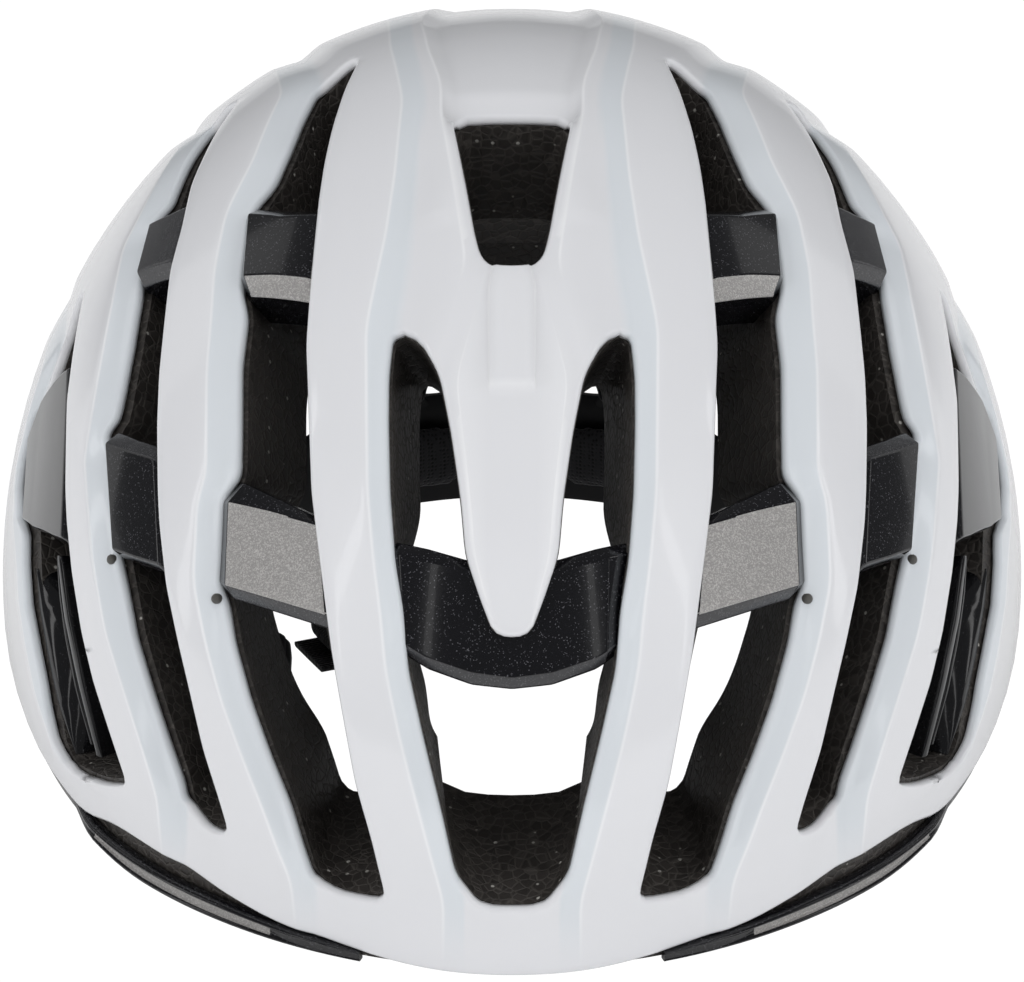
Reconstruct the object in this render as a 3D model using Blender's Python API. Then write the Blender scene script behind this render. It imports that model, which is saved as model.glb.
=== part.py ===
"""Road cycling helmet, size M: in-moulded shell, EPS liner, bridges, pads, fit system and webbing.

Frame: +Z up, front of the helmet at -Y, wearer's right at -X, origin under the middle of the
bounding box. Places on the dome are given by two angles in degrees: `a`, the sideways angle from
the centre plane, and `t`, the angle over the top from the front (0) through the crown (90) to the
rear (180). `off` is the distance outside (+) or inside (-) the outer surface.
"""

import bmesh
import bpy
import numpy as np
from mathutils import Matrix, Vector

MM = 0.001

# Outer dome
HALF_WIDTH = 104.0
HALF_LENGTH = 135.0
CROWN_HEIGHT = 113.0
EQUATOR_Z = 26.5

# Layers, from the outer surface inwards
SHELL_WALL = 1.6
LAYER_GAP = 0.35
CUT_OUT = 9.0
CUT_IN = -46.0
BRIDGE_FACE = -1.0
BRIDGE_DEPTH = 13.0
BRIDGE_BEVEL = 2.5
LOWER_CHAMFER = 0.14
UPPER_CHAMFER = 0.12

# Head cavity
CAVITY_X = 78.0
CAVITY_Y = 101.0
CAVITY_Z = 86.0

# Rim heights against the bearing from the front (0) to the rear (180)
RIM_BEARING = (0, 40, 48, 60, 75, 90, 105, 120, 150, 180)
RIM_Z = (0, 0, 2.5, 5, 10, 18, 25, 29, 33, 34)
WHITE_BEARING = (0, 6, 11, 16, 21, 26, 31, 37, 42, 48, 60, 75, 90, 105, 120, 150, 180)
WHITE_Z = (0.4, 0.8, 2.5, 4.5, 5.5, 8.5, 10.5, 11.5, 11.5, 8, 11, 18, 28, 36, 40, 42, 40)
BAND_BEARING = (0, 11, 16, 21, 26, 42, 48, 60, 75, 90, 105, 120, 150, 180)
BAND_Z = (2.1, 2.1, 3.6, 4.6, 5.5, 6, 6.5, 10.6, 17.6, 27.6, 35.6, 39.6, 41.6, 39.6)
BAND_START = 12.0

# Fit system
BAND_OUTER = 2.2
BAND_INNER = 4.2
PIN_BEARING = 64.2
PIN_Z = 16.0
DIAL_Z = 14.0
DIAL_Y = 101.0
DIAL_RADIUS = 13.0
PINION_RADIUS = 4.0
RACK_NEAR = -2.0
RACK_FAR = 34.0
RACK_HEIGHT = 0.7
RACK_GAP = 0.3
BUTTON_SIDES = 14
BORE_SIDES = 24
HINGE_Y = -41.5
REAR_ANCHOR_Z = 39.0

# Webbing, folded on the table inside the cavity
STRAP_WIDTH = 15.0
STRAP_THICK = 1.6
FOLD_ORIGIN = (0.0, 30.0)
FOLD_ANGLE = 24.2

PAINT = {
    "white": (0.80, 0.82, 0.86, 1.0),
    "gloss_black": (0.02, 0.02, 0.025, 1.0),
    "eps": (0.035, 0.033, 0.032, 1.0),
    "nylon": (0.03, 0.03, 0.035, 1.0),
    "webbing": (0.045, 0.045, 0.05, 1.0),
    "padding": (0.06, 0.06, 0.065, 1.0),
}


def paint(name):
    """The material of that name, made on first use."""
    found = bpy.data.materials.get(name)
    if found:
        return found
    made = bpy.data.materials.new(name)
    made.use_nodes = True
    shader = made.node_tree.nodes["Principled BSDF"]
    shader.inputs["Base Color"].default_value = PAINT[name]
    shader.inputs["Roughness"].default_value = 0.3 if "black" in name or name == "white" else 0.7
    made.diffuse_color = PAINT[name]
    return made


def new_collection(name, hidden=False):
    made = bpy.data.collections.new(name)
    made.hide_render = hidden
    bpy.context.scene.collection.children.link(made)
    return made


def dome(a, t, off=0.0):
    """Point on the outer dome moved by off, in millimetres."""
    a, t = np.radians(a), np.radians(t)
    return np.array([
        (HALF_WIDTH + off) * np.sin(a),
        -(HALF_LENGTH + off) * np.cos(a) * np.cos(t),
        EQUATOR_Z + (CROWN_HEIGHT + off) * np.cos(a) * np.sin(t),
    ])


def cavity(a, t, inset=0.0):
    """Point on the head cavity's ceiling, moved inwards by inset."""
    a, t = np.radians(a), np.radians(t)
    return np.array([
        (CAVITY_X - inset) * np.sin(a),
        -(CAVITY_Y - inset) * np.cos(a) * np.cos(t),
        EQUATOR_Z + (CAVITY_Z - inset) * np.cos(a) * np.sin(t),
    ])


def wall(bearing, z, inset=0.0):
    """Point on the cavity's side wall at a bearing: 0 front, 90 the wearer's left, 180 rear."""
    rise = max(z - EQUATOR_Z, 0.0) / CAVITY_Z
    shrink = np.sqrt(1.0 - rise * rise)
    b = np.radians(bearing)
    return np.array([
        ((CAVITY_X * shrink) - inset) * np.sin(b),
        -((CAVITY_Y * shrink) - inset) * np.cos(b),
        z,
    ])


def solid(name, rings, finish, group, closed=False, centre=None):
    """Closed body lofted through rings of equal length, in millimetres. `closed` joins the last
    ring to the first; otherwise each end is capped."""
    mesh = bmesh.new()
    made = [[mesh.verts.new(Vector(p) * MM) for p in ring] for ring in rings]
    count = len(made[0])
    pairs = list(zip(made, made[1:])) + ([(made[-1], made[0])] if closed else [])
    for first, second in pairs:
        for i in range(count):
            j = (i + 1) % count
            mesh.faces.new((first[i], first[j], second[j], second[i]))
    if not closed:
        mesh.faces.new(made[0])
        mesh.faces.new(made[-1])
    bmesh.ops.triangulate(mesh, faces=mesh.faces[:])
    bmesh.ops.recalc_face_normals(mesh, faces=mesh.faces[:])
    return finish_mesh(name, mesh, finish, group, centre)


def finish_mesh(name, mesh, finish, group, centre=None):
    """Object from a bmesh, with its origin at `centre` (millimetres)."""
    if centre is not None:
        bmesh.ops.translate(mesh, verts=mesh.verts[:], vec=-Vector(centre) * MM)
    data = bpy.data.meshes.new(name)
    mesh.to_mesh(data)
    mesh.free()
    made = bpy.data.objects.new(name, data)
    if centre is not None:
        made.location = Vector(centre) * MM
    if finish:
        data.materials.append(paint(finish))
    group.objects.link(made)
    return made


def ellipsoid(name, axes, finish, group, across=40, along=20):
    """Ellipsoid with its poles at the sides, so that its grid follows the ribs."""
    mesh = bmesh.new()
    bmesh.ops.create_uvsphere(mesh, u_segments=across, v_segments=along, radius=1.0)
    turn = Matrix.Rotation(np.radians(90), 4, "Y")
    bmesh.ops.transform(mesh, matrix=turn, verts=mesh.verts[:])
    for v in mesh.verts:
        v.co = Vector((v.co.x * axes[0], v.co.y * axes[1], EQUATOR_Z + v.co.z * axes[2])) * MM
    bmesh.ops.recalc_face_normals(mesh, faces=mesh.faces[:])
    return finish_mesh(name, mesh, finish, group)


def cavity_tool(group):
    """Head cavity: the ceiling's ellipsoid carried straight down below the equator."""
    mesh = bmesh.new()
    bmesh.ops.create_uvsphere(mesh, u_segments=40, v_segments=18, radius=1.0)
    for v in mesh.verts:
        x, y, z = v.co
        if z < -1e-6:
            r = np.hypot(x, y)
            x, y = (x / r, y / r) if r > 1e-6 else (0.0, 0.0)
            height = EQUATOR_Z + 160.0 * z
        else:
            height = EQUATOR_Z + CAVITY_Z * z
        v.co = Vector((CAVITY_X * x, CAVITY_Y * y, height)) * MM
    bmesh.ops.recalc_face_normals(mesh, faces=mesh.faces[:])
    return finish_mesh("cut_head_cavity", mesh, None, group)


def under_rim(name, bearings, heights, group, step=10):
    """Everything below a rim whose height follows the bearing: a disc with a stepped edge."""
    mesh = bmesh.new()
    rings = [[], [], []]
    for bearing in range(0, 360, step):
        folded = bearing if bearing <= 180 else 360 - bearing
        z = float(np.interp(folded, bearings, heights))
        b = np.radians(bearing)
        for ring, radius, height in zip(rings, (45.0, 180.0, 180.0), (z, z, -150.0)):
            ring.append(mesh.verts.new(
                Vector((radius * np.sin(b) * 0.8, -radius * np.cos(b), height)) * MM))
    top = mesh.verts.new(Vector((0, 0, 20)) * MM)
    low = mesh.verts.new(Vector((0, 0, -150)) * MM)
    count = len(rings[0])
    for i in range(count):
        j = (i + 1) % count
        mesh.faces.new((top, rings[0][i], rings[0][j]))
        mesh.faces.new((rings[0][i], rings[1][i], rings[1][j], rings[0][j]))
        mesh.faces.new((rings[1][i], rings[2][i], rings[2][j], rings[1][j]))
        mesh.faces.new((low, rings[2][j], rings[2][i]))
    bmesh.ops.triangulate(mesh, faces=mesh.faces[:])
    bmesh.ops.recalc_face_normals(mesh, faces=mesh.faces[:])
    return finish_mesh(name, mesh, None, group)


def mirrored(rows):
    """The same rows on the other side of the centre plane."""
    return [tuple((-a, t) for a, t in row) for row in rows]


def vent_tool(name, rows, group, rise=0.0):
    """Vent cutter through every layer: each row is its two edge points, and `rise` lifts the
    inner end of the lowest rows, as the sill climbs towards the head."""
    rings = []
    for i, ((a0, t0), (a1, t1)) in enumerate(rows):
        lift = rise * max(0.0, 1.0 - i / 2.0)
        rings.append([
            dome(a0, t0, CUT_OUT), dome(a1, t1, CUT_OUT),
            dome(a1, t1 + lift, CUT_IN), dome(a0, t0 + lift, CUT_IN),
        ])
    return solid(name, rings, None, group)


def cut(target, tools, operation="DIFFERENCE"):
    for tool in tools:
        modifier = target.modifiers.new("cut_" + tool.name, "BOOLEAN")
        modifier.operation = operation
        modifier.solver = "EXACT"
        modifier.object = tool


# Vent outlines: rows of (inner edge, outer edge) from the bottom of each vent to its top
FRONT_VENT = [
    ((-3.0, -5.6), (3.0, -5.6)), ((-6.0, -2.5), (6.0, -2.5)), ((-7.5, 3.8), (7.5, 3.8)),
    ((-9.6, 11.8), (9.6, 11.8)), ((-11.2, 18.0), (11.2, 18.0)), ((-11.4, 21.9), (11.4, 21.9)),
]
EYE_VENT = [
    ((1.2, 19.4), (10.0, 19.4)), ((1.2, 21.6), (11.75, 22.0)), ((3.3, 25.1), (11.8, 25.1)),
    ((4.9, 29.3), (12.6, 29.3)), ((5.4, 34.4), (13.4, 35.5)), ((6.5, 41.1), (13.4, 42.4)),
    ((7.6, 47.0), (13.4, 46.4)), ((9.7, 50.2), (13.3, 50.0)), ((11.6, 51.7), (13.0, 51.4)),
]
TOP_VENT = [
    ((-2.3, 58.2), (2.3, 58.2)), ((-3.9, 61.4), (3.9, 61.4)), ((-5.2, 70.0), (5.2, 70.0)),
    ((-6.5, 78.4), (6.5, 78.4)), ((-5.9, 79.3), (5.9, 79.3)),
]
COLUMN_1 = [
    ((13.8, -6.0), (21.4, -6.0)), ((14.0, -2.5), (23.4, -2.0)), ((16.8, 6.6), (27.3, 7.6)),
    ((18.1, 13.1), (29.7, 13.4)), ((19.4, 20.2), (32.2, 21.5)), ((19.3, 25.0), (33.2, 26.5)),
    ((20.3, 32.3), (32.7, 35.9)), ((22.0, 39.3), (31.0, 39.3)), ((22.6, 51.6), (31.2, 51.8)),
    ((22.4, 57.1), (30.4, 60.3)), ((21.5, 68.0), (30.6, 70.0)), ((20.9, 74.6), (28.0, 76.0)),
    ((18.9, 87.6), (24.2, 87.0)), ((17.6, 93.4), (22.3, 93.3)),
]
COLUMN_2 = [
    ((31.9, -3.3), (36.2, -3.4)), ((32.2, -1.0), (38.8, -1.0)), ((35.2, 6.8), (41.6, 6.8)),
    ((38.7, 19.6), (46.3, 19.6)), ((40.5, 27.1), (48.4, 29.5)), ((41.7, 37.9), (50.4, 39.0)),
    ((42.0, 46.7), (50.4, 48.5)), ((41.4, 60.6), (47.9, 61.0)), ((40.7, 69.5), (46.5, 73.0)),
    ((38.8, 81.5), (44.7, 84.5)), ((35.8, 93.2), (40.0, 94.4)), ((33.0, 101.4), (36.6, 101.9)),
]
COLUMN_3 = [
    ((47.0, -4.0), (57.9, -11.1)), ((47.6, -1.5), (63.3, -2.6)), ((50.2, 4.9), (65.6, 5.6)),
    ((54.8, 17.5), (68.7, 18.0)), ((56.9, 27.3), (69.7, 29.5)), ((58.2, 36.2), (69.6, 38.0)),
    ((58.8, 48.0), (69.0, 50.0)), ((59.1, 60.7), (67.4, 63.0)), ((58.4, 69.3), (63.4, 70.5)),
    ((57.6, 78.5), (61.3, 78.7)), ((57.0, 85.6), (59.2, 85.6)),
]
REAR_CENTRE = [
    ((-5.5, 171.5), (5.5, 171.5)), ((-7.1, 166.0), (7.1, 166.0)), ((-7.0, 150.0), (7.0, 150.0)),
    ((-5.6, 124.0), (5.6, 124.0)), ((-3.0, 117.0), (3.0, 117.0)),
]
REAR_1 = [
    ((20.4, 166.0), (25.5, 165.0)), ((19.0, 158.0), (29.0, 157.0)), ((19.2, 140.0), (31.0, 140.0)),
    ((20.6, 119.0), (29.0, 119.0)), ((22.4, 112.5), (25.0, 112.5)),
]
REAR_2 = [
    ((37.6, 160.5), (41.0, 159.5)), ((36.2, 153.0), (44.6, 152.0)), ((36.4, 138.0), (47.0, 138.0)),
    ((37.0, 124.0), (44.6, 124.0)), ((38.4, 118.5), (41.0, 118.5)),
]
REAR_3 = [
    ((56.4, 150.0), (60.0, 148.0)), ((55.0, 143.0), (64.0, 141.0)), ((55.2, 128.0), (67.0, 128.0)),
    ((56.6, 110.0), (65.0, 110.0)), ((58.4, 104.5), (61.0, 104.5)),
]


def vent_tools(group):
    """Every vent cutter, both sides."""
    tools = [
        vent_tool("cut_front_vent", FRONT_VENT, group, rise=5.0),
        vent_tool("cut_top_vent", TOP_VENT, group),
        vent_tool("cut_rear_centre", REAR_CENTRE, group),
    ]
    pairs = (("eye_vent", EYE_VENT, 0.0), ("column_1", COLUMN_1, 5.0), ("column_2", COLUMN_2, 4.0),
             ("column_3", COLUMN_3, 0.0), ("rear_1", REAR_1, 0.0), ("rear_2", REAR_2, 0.0),
             ("rear_3", REAR_3, 0.0))
    for name, rows, rise in pairs:
        tools.append(vent_tool(f"cut_{name}_left", rows, group, rise))
        tools.append(vent_tool(f"cut_{name}_right", mirrored(rows), group, rise))
    return tools


def layer(name, outer, inner, finish, part, tools):
    """Ellipsoid wall between two offsets of the dome."""
    made = ellipsoid(name, (HALF_WIDTH + outer, HALF_LENGTH + outer, CROWN_HEIGHT + outer), finish, part)
    hollow = ellipsoid(
        "hollow_" + name, (HALF_WIDTH + inner, HALF_LENGTH + inner, CROWN_HEIGHT + inner), None, tools)
    cut(made, [hollow])
    return made


def outer_shell(part, tools, vents):
    made = layer("outer_shell", 0.0, -SHELL_WALL, "white", part, tools)
    cut(made, [under_rim("cut_white_rim", WHITE_BEARING, WHITE_Z, tools)] + vents)
    return made


def lower_shell(part, tools):
    """Glossy wrap round the lower edge, open at the brow."""
    made = layer("lower_shell", 0.0, -SHELL_WALL, "gloss_black", part, tools)
    keep = under_rim("keep_lower_band", BAND_BEARING, BAND_Z, tools)
    cut(made, [keep], "INTERSECT")
    half = np.radians(BAND_START)
    brow = [[(0, 0, z), (-200 * np.sin(half), -200 * np.cos(half), z),
             (200 * np.sin(half), -200 * np.cos(half), z)] for z in (-150.0, 90.0)]
    cut(made, [under_rim("cut_lower_rim", RIM_BEARING, RIM_Z, tools),
               solid("cut_brow_gap", brow, None, tools)])
    return made


def eps_liner(part, tools, vents):
    """Energy-absorbing foam between the shell and the head."""
    off = -SHELL_WALL - LAYER_GAP
    made = ellipsoid("eps_liner", (HALF_WIDTH + off, HALF_LENGTH + off, CROWN_HEIGHT + off), "eps", part)
    tip = vent_tool("cut_under_spine_tip", [((-3.0, 19.0), (3.0, 19.0)), ((-6.2, 31.6), (6.2, 31.6))], tools)
    outline = ((-38, 70), (38, 70), (38, 112), (17, 112), (17, 119), (-17, 119), (-17, 112), (-38, 112))
    pocket = solid("cut_dial_pocket", [[(x, y, z) for x, y in outline] for z in (-20.0, 46.0)], None, tools)
    cut(made, [cavity_tool(tools), under_rim("cut_foam_rim", RIM_BEARING, RIM_Z, tools)]
        + vents + [tip, pocket])
    return made


def bridge(name, stations, part, finish="gloss_black", face=BRIDGE_FACE, depth=BRIDGE_DEPTH):
    """Faceted bar across a vent. Each station is (a, t) at its lower and its upper edge."""
    rings = []
    for (a0, t0), (a1, t1) in stations:

        def at(share, off):
            return dome(a0 + (a1 - a0) * share, t0 + (t1 - t0) * share, off)

        rings.append([
            at(LOWER_CHAMFER, face), at(1 - UPPER_CHAMFER, face), at(1.0, face - BRIDGE_BEVEL),
            at(1.0, face - depth), at(0.0, face - depth), at(0.0, face - BRIDGE_BEVEL),
        ])
    return solid(name, rings, finish, part)


BRIDGE_CENTRE = [
    ((-10.8, 19.9), (-12.2, 30.7)), ((-8.8, 18.4), (-8.9, 29.8)), ((-4.4, 17.0), (-4.6, 28.9)),
    ((0.0, 16.6), (0.0, 28.4)),
    ((4.4, 17.0), (4.6, 28.9)), ((8.8, 18.4), (8.9, 29.8)), ((10.8, 19.9), (12.2, 30.7)),
]
BRIDGE_FRONT = [
    ((19.95, 21.9), (20.95, 33.0)), ((23.5, 22.8), (24.0, 34.3)), ((28.0, 23.9), (28.2, 35.7)),
    ((32.1, 25.0), (31.9, 37.0)),
]
BRIDGE_UPPER = [
    ((22.9, 57.2), (22.0, 68.2)), ((25.4, 58.4), (24.8, 70.0)), ((29.8, 60.8), (29.0, 73.2)),
]
BRIDGE_MID = [
    ((41.2, 27.6), (42.6, 43.8)), ((44.2, 28.4), (45.8, 45.8)), ((47.6, 29.6), (49.7, 48.4)),
]
BRIDGE_HIGH = [
    ((41.3, 69.6), (39.4, 81.4)), ((43.4, 71.0), (41.6, 82.8)), ((45.7, 72.8), (44.0, 84.2)),
]
BRIDGE_SIDE = [
    ((59.1, 34.5), (59.2, 68.5)), ((61.5, 35.0), (60.8, 70.0)), ((65.0, 35.8), (61.8, 70.6)),
    ((68.4, 37.0), (62.4, 71.0)),
]


def bridges(part):
    bridge("bridge_centre", BRIDGE_CENTRE, part, face=-2.1)
    pairs = (("front", BRIDGE_FRONT), ("upper", BRIDGE_UPPER), ("mid", BRIDGE_MID),
             ("high", BRIDGE_HIGH), ("side", BRIDGE_SIDE))
    for name, stations in pairs:
        bridge(f"bridge_{name}_left", stations, part)
        bridge(f"bridge_{name}_right", mirrored(stations), part)


def side_fins(part):
    """Curved vane standing in each lower side opening."""
    rows = [((53.2, -5.0), (55.6, -6.6)), ((57.0, 6.0), (59.4, 6.0)), ((60.4, 18.0), (62.8, 18.0)),
            ((62.6, 30.5), (65.2, 31.0))]
    for name, these in (("side_fin_left", rows), ("side_fin_right", mirrored(rows))):
        rings = [[dome(*inner, -5.0), dome(*outer, -5.0), dome(*outer, -21.0), dome(*inner, -21.0)]
                 for inner, outer in these]
        solid(name, rings, "gloss_black", part)


def ceiling_pad(name, rows, part):
    """Cushion on the ceiling of the cavity: rows of two edge points."""
    rings = [[cavity(*p, 0.9), cavity(*q, 0.9), cavity(*q, 5.4), cavity(*p, 5.4)] for p, q in rows]
    return solid(name, rings, "padding", part)


def wall_strip(name, stations, finish, part, outer, inner):
    """Band standing along the cavity's wall: stations are (bearing, lower z, upper z)."""
    rings = [[wall(b, low, outer), wall(b, high, outer), wall(b, high, inner), wall(b, low, inner)]
             for b, low, high in stations]
    return solid(name, rings, finish, part)


def pads(part):
    brow = [(b, 2.5 + abs(b) * 0.03, 14.5 - abs(b) * 0.04) for b in range(-44, 45, 8)]
    wall_strip("pad_brow", brow, "padding", part, 0.7, 5.6)
    crown = [((10.2, t), (19.2, t)) for t in (48, 58, 68, 78, 88, 98, 108, 118, 126)]
    side = [((50.6, t), (56.0, t)) for t in (48, 60, 72, 84, 96, 106)]
    for name, rows in (("crown", crown), ("side", side)):
        ceiling_pad(f"pad_{name}_left", rows, part)
        ceiling_pad(f"pad_{name}_right", mirrored(rows), part)


def box(name, low, high, finish, part, centre=None, turn=0.0, bevel=0.0):
    """Box between two corners, turned about Z through the fold's origin if `turn` is set."""
    mesh = bmesh.new()
    bmesh.ops.create_cube(mesh, size=1.0)
    for v in mesh.verts:
        v.co = Vector([(lo + hi) / 2 + c * (hi - lo) for lo, hi, c in zip(low, high, v.co)]) * MM
    if bevel:
        bmesh.ops.bevel(mesh, geom=mesh.edges[:], offset=bevel * MM, segments=1, affect="EDGES")
    if turn:
        bmesh.ops.transform(mesh, matrix=fold_matrix(), verts=mesh.verts[:])
    bmesh.ops.recalc_face_normals(mesh, faces=mesh.faces[:])
    return finish_mesh(name, mesh, finish, part, centre)


def fold_matrix():
    """From the folded strap's own frame (along, across, up) to the helmet's."""
    return (Matrix.Translation(Vector((*FOLD_ORIGIN, 0)) * MM)
            @ Matrix.Rotation(np.radians(FOLD_ANGLE), 4, "Z"))


def folded(s, v, z):
    p = fold_matrix() @ (Vector((s, v, z)) * MM)
    return np.array(p) / MM


def knurled(name, radius, grip, teeth, y0, y1, centre, finish, part):
    """Knob or pinion about an axis along Y with `teeth` flutes."""
    rings = []
    for y in (y0, y1):
        ring = []
        for k in range(teeth * 4):
            angle = 2 * np.pi * k / (teeth * 4)
            r = radius if k % 4 < 2 else radius - grip
            ring.append((centre[0] + r * np.cos(angle), y, centre[2] + r * np.sin(angle)))
        rings.append(ring)
    return solid(name, rings, finish, part, centre=centre)


def fit_system(part):
    """Cradle, side arms, dial and racks: the ring that tilts about the temple pins."""
    for side, name in ((-1, "right"), (1, "left")):
        arm = [(side * b, low, high) for b, low, high in (
            (60, 9.5, 22), (70, 9.5, 20.5), (85, 9, 19.5), (100, 8, 19.5), (115, 6.5, 20),
            (128, 4.8, 21), (140.5, 4, 21.5))]
        wall_strip(f"fit_arm_{name}", arm, "nylon", part, BAND_OUTER, BAND_INNER)
        button(f"temple_pin_{name}", side * PIN_BEARING, PIN_Z, (4.6, 6.6), (5.0, 3.4), part)
        pad = [(side * b, 3.5, 20) for b in (147.5, 154, 160.5, 167, 173.5)]
        wall_strip(f"cradle_pad_{name}", pad, "padding", part, 4.7, 8.2)
    cradle(part)
    housing(part)
    racks(part)


def button(name, bearing, z, depths, radii, part):
    """Round plug standing on the cavity wall, its axis square to the wall."""
    at = wall(bearing, z)
    inward = -np.array([at[0] / CAVITY_X**2, at[1] / CAVITY_Y**2, 0.0])
    inward /= np.linalg.norm(inward)
    middle = at + inward * sum(depths) / 2
    facing = Vector(inward).to_track_quat("Z", "Y").to_matrix().to_4x4()
    place = Matrix.Translation(Vector(middle) * MM) @ facing
    mesh = bmesh.new()
    bmesh.ops.create_cone(
        mesh, cap_ends=True, segments=BUTTON_SIDES, radius1=radii[0] * MM, radius2=radii[1] * MM,
        depth=(depths[1] - depths[0]) * MM, matrix=place)
    bmesh.ops.triangulate(mesh, faces=mesh.faces[:])
    return finish_mesh(name, mesh, "nylon", part)


def cradle(part):
    """Occipital cradle: a band across the nape with two struts that climb to the foam."""
    band = []
    for b in np.arange(141.0, 219.1, 6.5):
        away = abs(b - 180.0)
        low = np.interp(away, (0, 15, 30, 39), (0, 0, 0.6, 4))
        high = np.interp(away, (0, 15, 30, 39), (25, 25, 24.5, 21.5))
        band.append((b, float(low), float(high)))
    made = wall_strip("cradle", band, "nylon", part, BAND_OUTER, BAND_INNER)
    struts = []
    for side in (-1, 1):
        rings = []
        for b, z, half, inset in ((164, 21.0, 2.7, 2.6), (163, 26.0, 1.9, 3.1), (161.5, 32.0, 1.4, 4.4),
                                  (160, 38.0, 2.0, 5.6), (159, 43.0, 2.6, 6.6)):
            rings.append([wall(side * (b - half), z, inset), wall(side * (b + half), z, inset),
                          wall(side * (b + half), z, inset + 1.5), wall(side * (b - half), z, inset + 1.5)])
        struts.append(solid(f"join_strut_{side}", rings, None, bpy.data.collections["cutters"]))
    cut(made, struts, "UNION")
    return made


def housing(part):
    """Dial housing behind the cradle: a flat box with a tunnel for the racks."""
    centre = (0.0, DIAL_Y, DIAL_Z)
    made = box("dial_housing", (-30, DIAL_Y - 1.4, 6.5), (30, DIAL_Y + 5.0, 21.5), "nylon", part, bevel=1.0)
    tunnel = box("cut_rack_tunnel", (-40, DIAL_Y + 0.4, 8.6), (40, DIAL_Y + 3.4, 19.4), None,
                 bpy.data.collections["cutters"])
    bore = bore_tool("cut_dial_bore", 6.0, DIAL_Y + 2.0, DIAL_Y + 9.0, centre)
    cut(made, [tunnel, bore])
    knurled("dial_knob", DIAL_RADIUS, 0.9, 14, DIAL_Y + 5.5, DIAL_Y + 13.5, centre, "gloss_black", part)
    knurled("dial_pinion", PINION_RADIUS, 0.9, 8, DIAL_Y + 0.7, DIAL_Y + 5.1, centre, "nylon", part)
    return made


def bore_tool(name, radius, y0, y1, centre):
    """Round bore about an axis along Y."""
    middle = Vector((centre[0], (y0 + y1) / 2, centre[2])) * MM
    place = Matrix.Translation(middle) @ Matrix.Rotation(np.radians(90), 4, "X")
    mesh = bmesh.new()
    bmesh.ops.create_cone(
        mesh, cap_ends=True, segments=BORE_SIDES, radius1=radius * MM, radius2=radius * MM,
        depth=(y1 - y0) * MM, matrix=place)
    bmesh.ops.triangulate(mesh, faces=mesh.faces[:])
    return finish_mesh(name, mesh, None, bpy.data.collections["cutters"])


def racks(part):
    """Toothed strips that the pinion draws into the housing from both sides."""
    under = DIAL_Z - PINION_RADIUS - RACK_GAP - RACK_HEIGHT
    over = DIAL_Z + PINION_RADIUS + RACK_GAP
    for side, name, low in ((-1, "right", under), (1, "left", over)):
        ends = sorted((side * RACK_NEAR, side * RACK_FAR))
        corner = (ends[1], DIAL_Y + 3.0, low + RACK_HEIGHT)
        box(f"rack_{name}", (ends[0], DIAL_Y + 0.8, low), corner, "nylon", part)


def ribbon(name, stations, finish, part, width=STRAP_WIDTH, thick=STRAP_THICK):
    """Flat webbing through stations of (centre, direction of its width)."""
    centres = [np.array(p, float) for p, _ in stations]
    rings = []
    for i, (p, across) in enumerate(stations):
        along = centres[min(i + 1, len(centres) - 1)] - centres[max(i - 1, 0)]
        across = np.array(across, float)
        along /= np.linalg.norm(along)
        across -= along * across.dot(along)
        across /= np.linalg.norm(across)
        normal = np.cross(along, across)
        w, h = across * width / 2, normal * thick / 2
        p = np.array(p, float)
        rings.append([p - w - h, p + w - h, p + w + h, p - w + h])
    return solid(name, rings, finish, part)


def webbing(part):
    """Side straps from the foam to each divider, and the chin strap across the table."""
    up, sideways, lengthways = (0, 0, 1), (1, 0, 0), (0, 1, 0)
    right, left = folded(-61, 0, 0), folded(46, 0, 0)
    ribbon("strap_front_right", [
        (wall(-55, 11.0, 5.4), up), (wall(-68, 11.0, 8.6), up), (right + (-5.5, -29, 8.4), (-0.3, 0, 1)),
        (right + (-1.5, -22, 4.4), (-1, 0, 0.6)), (right + (0, -17, 2.8), sideways),
        (right + (0, -12.6, 2.4), sideways)], "webbing", part, width=13.0)
    ribbon("strap_rear_right", [
        (wall(-130, 36.0, 5.4), (-0.54, -0.84, 0)), (wall(-129.5, 24.0, 8.6), (-0.4, -0.65, 0.65)),
        (wall(-122, 14.0, 9.4), up), (wall(-114, 9.5, 9.2), (-0.3, 0, 1)),
        (right + (-2.0, 22, 4.4), (-1, 0, 0.6)), (right + (0, 17, 2.8), sideways),
        (right + (0, 12.6, 2.4), sideways)], "webbing", part, width=13.0)
    ribbon("strap_front_left", [
        (wall(55, 11.0, 5.4), up), (wall(68, 10.0, 8.6), up), (wall(84, 9.0, 8.8), up),
        (wall(100, 8.5, 9.0), up), (wall(110, 7.6, 10.5), (0.4, 0, 1)),
        (left + (17.5, -6.8, 3.6), (0.6, 0.8, 0.5)), (left + (11.9, -5.0, 2.4), lengthways)],
        "webbing", part, width=11.0)
    ribbon("strap_rear_left", [
        (wall(130, 36.5, 5.4), (-0.54, 0.84, 0)), (wall(130, 24.5, 6.8), (-0.54, 0.84, 0)),
        (wall(129, 15.0, 8.4), (-0.54, 0.84, 0)),
        (left + (14.6, 7.4, 8.0), (-0.3, 1, 0)), (left + (13.6, 6.2, 4.2), lengthways),
        (left + (10.8, 6.0, 2.4), lengthways)], "webbing", part, width=10.0)
    divider("right", -1, right, part)
    divider("left", 1, left, part)
    chin_strap(part)


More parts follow.
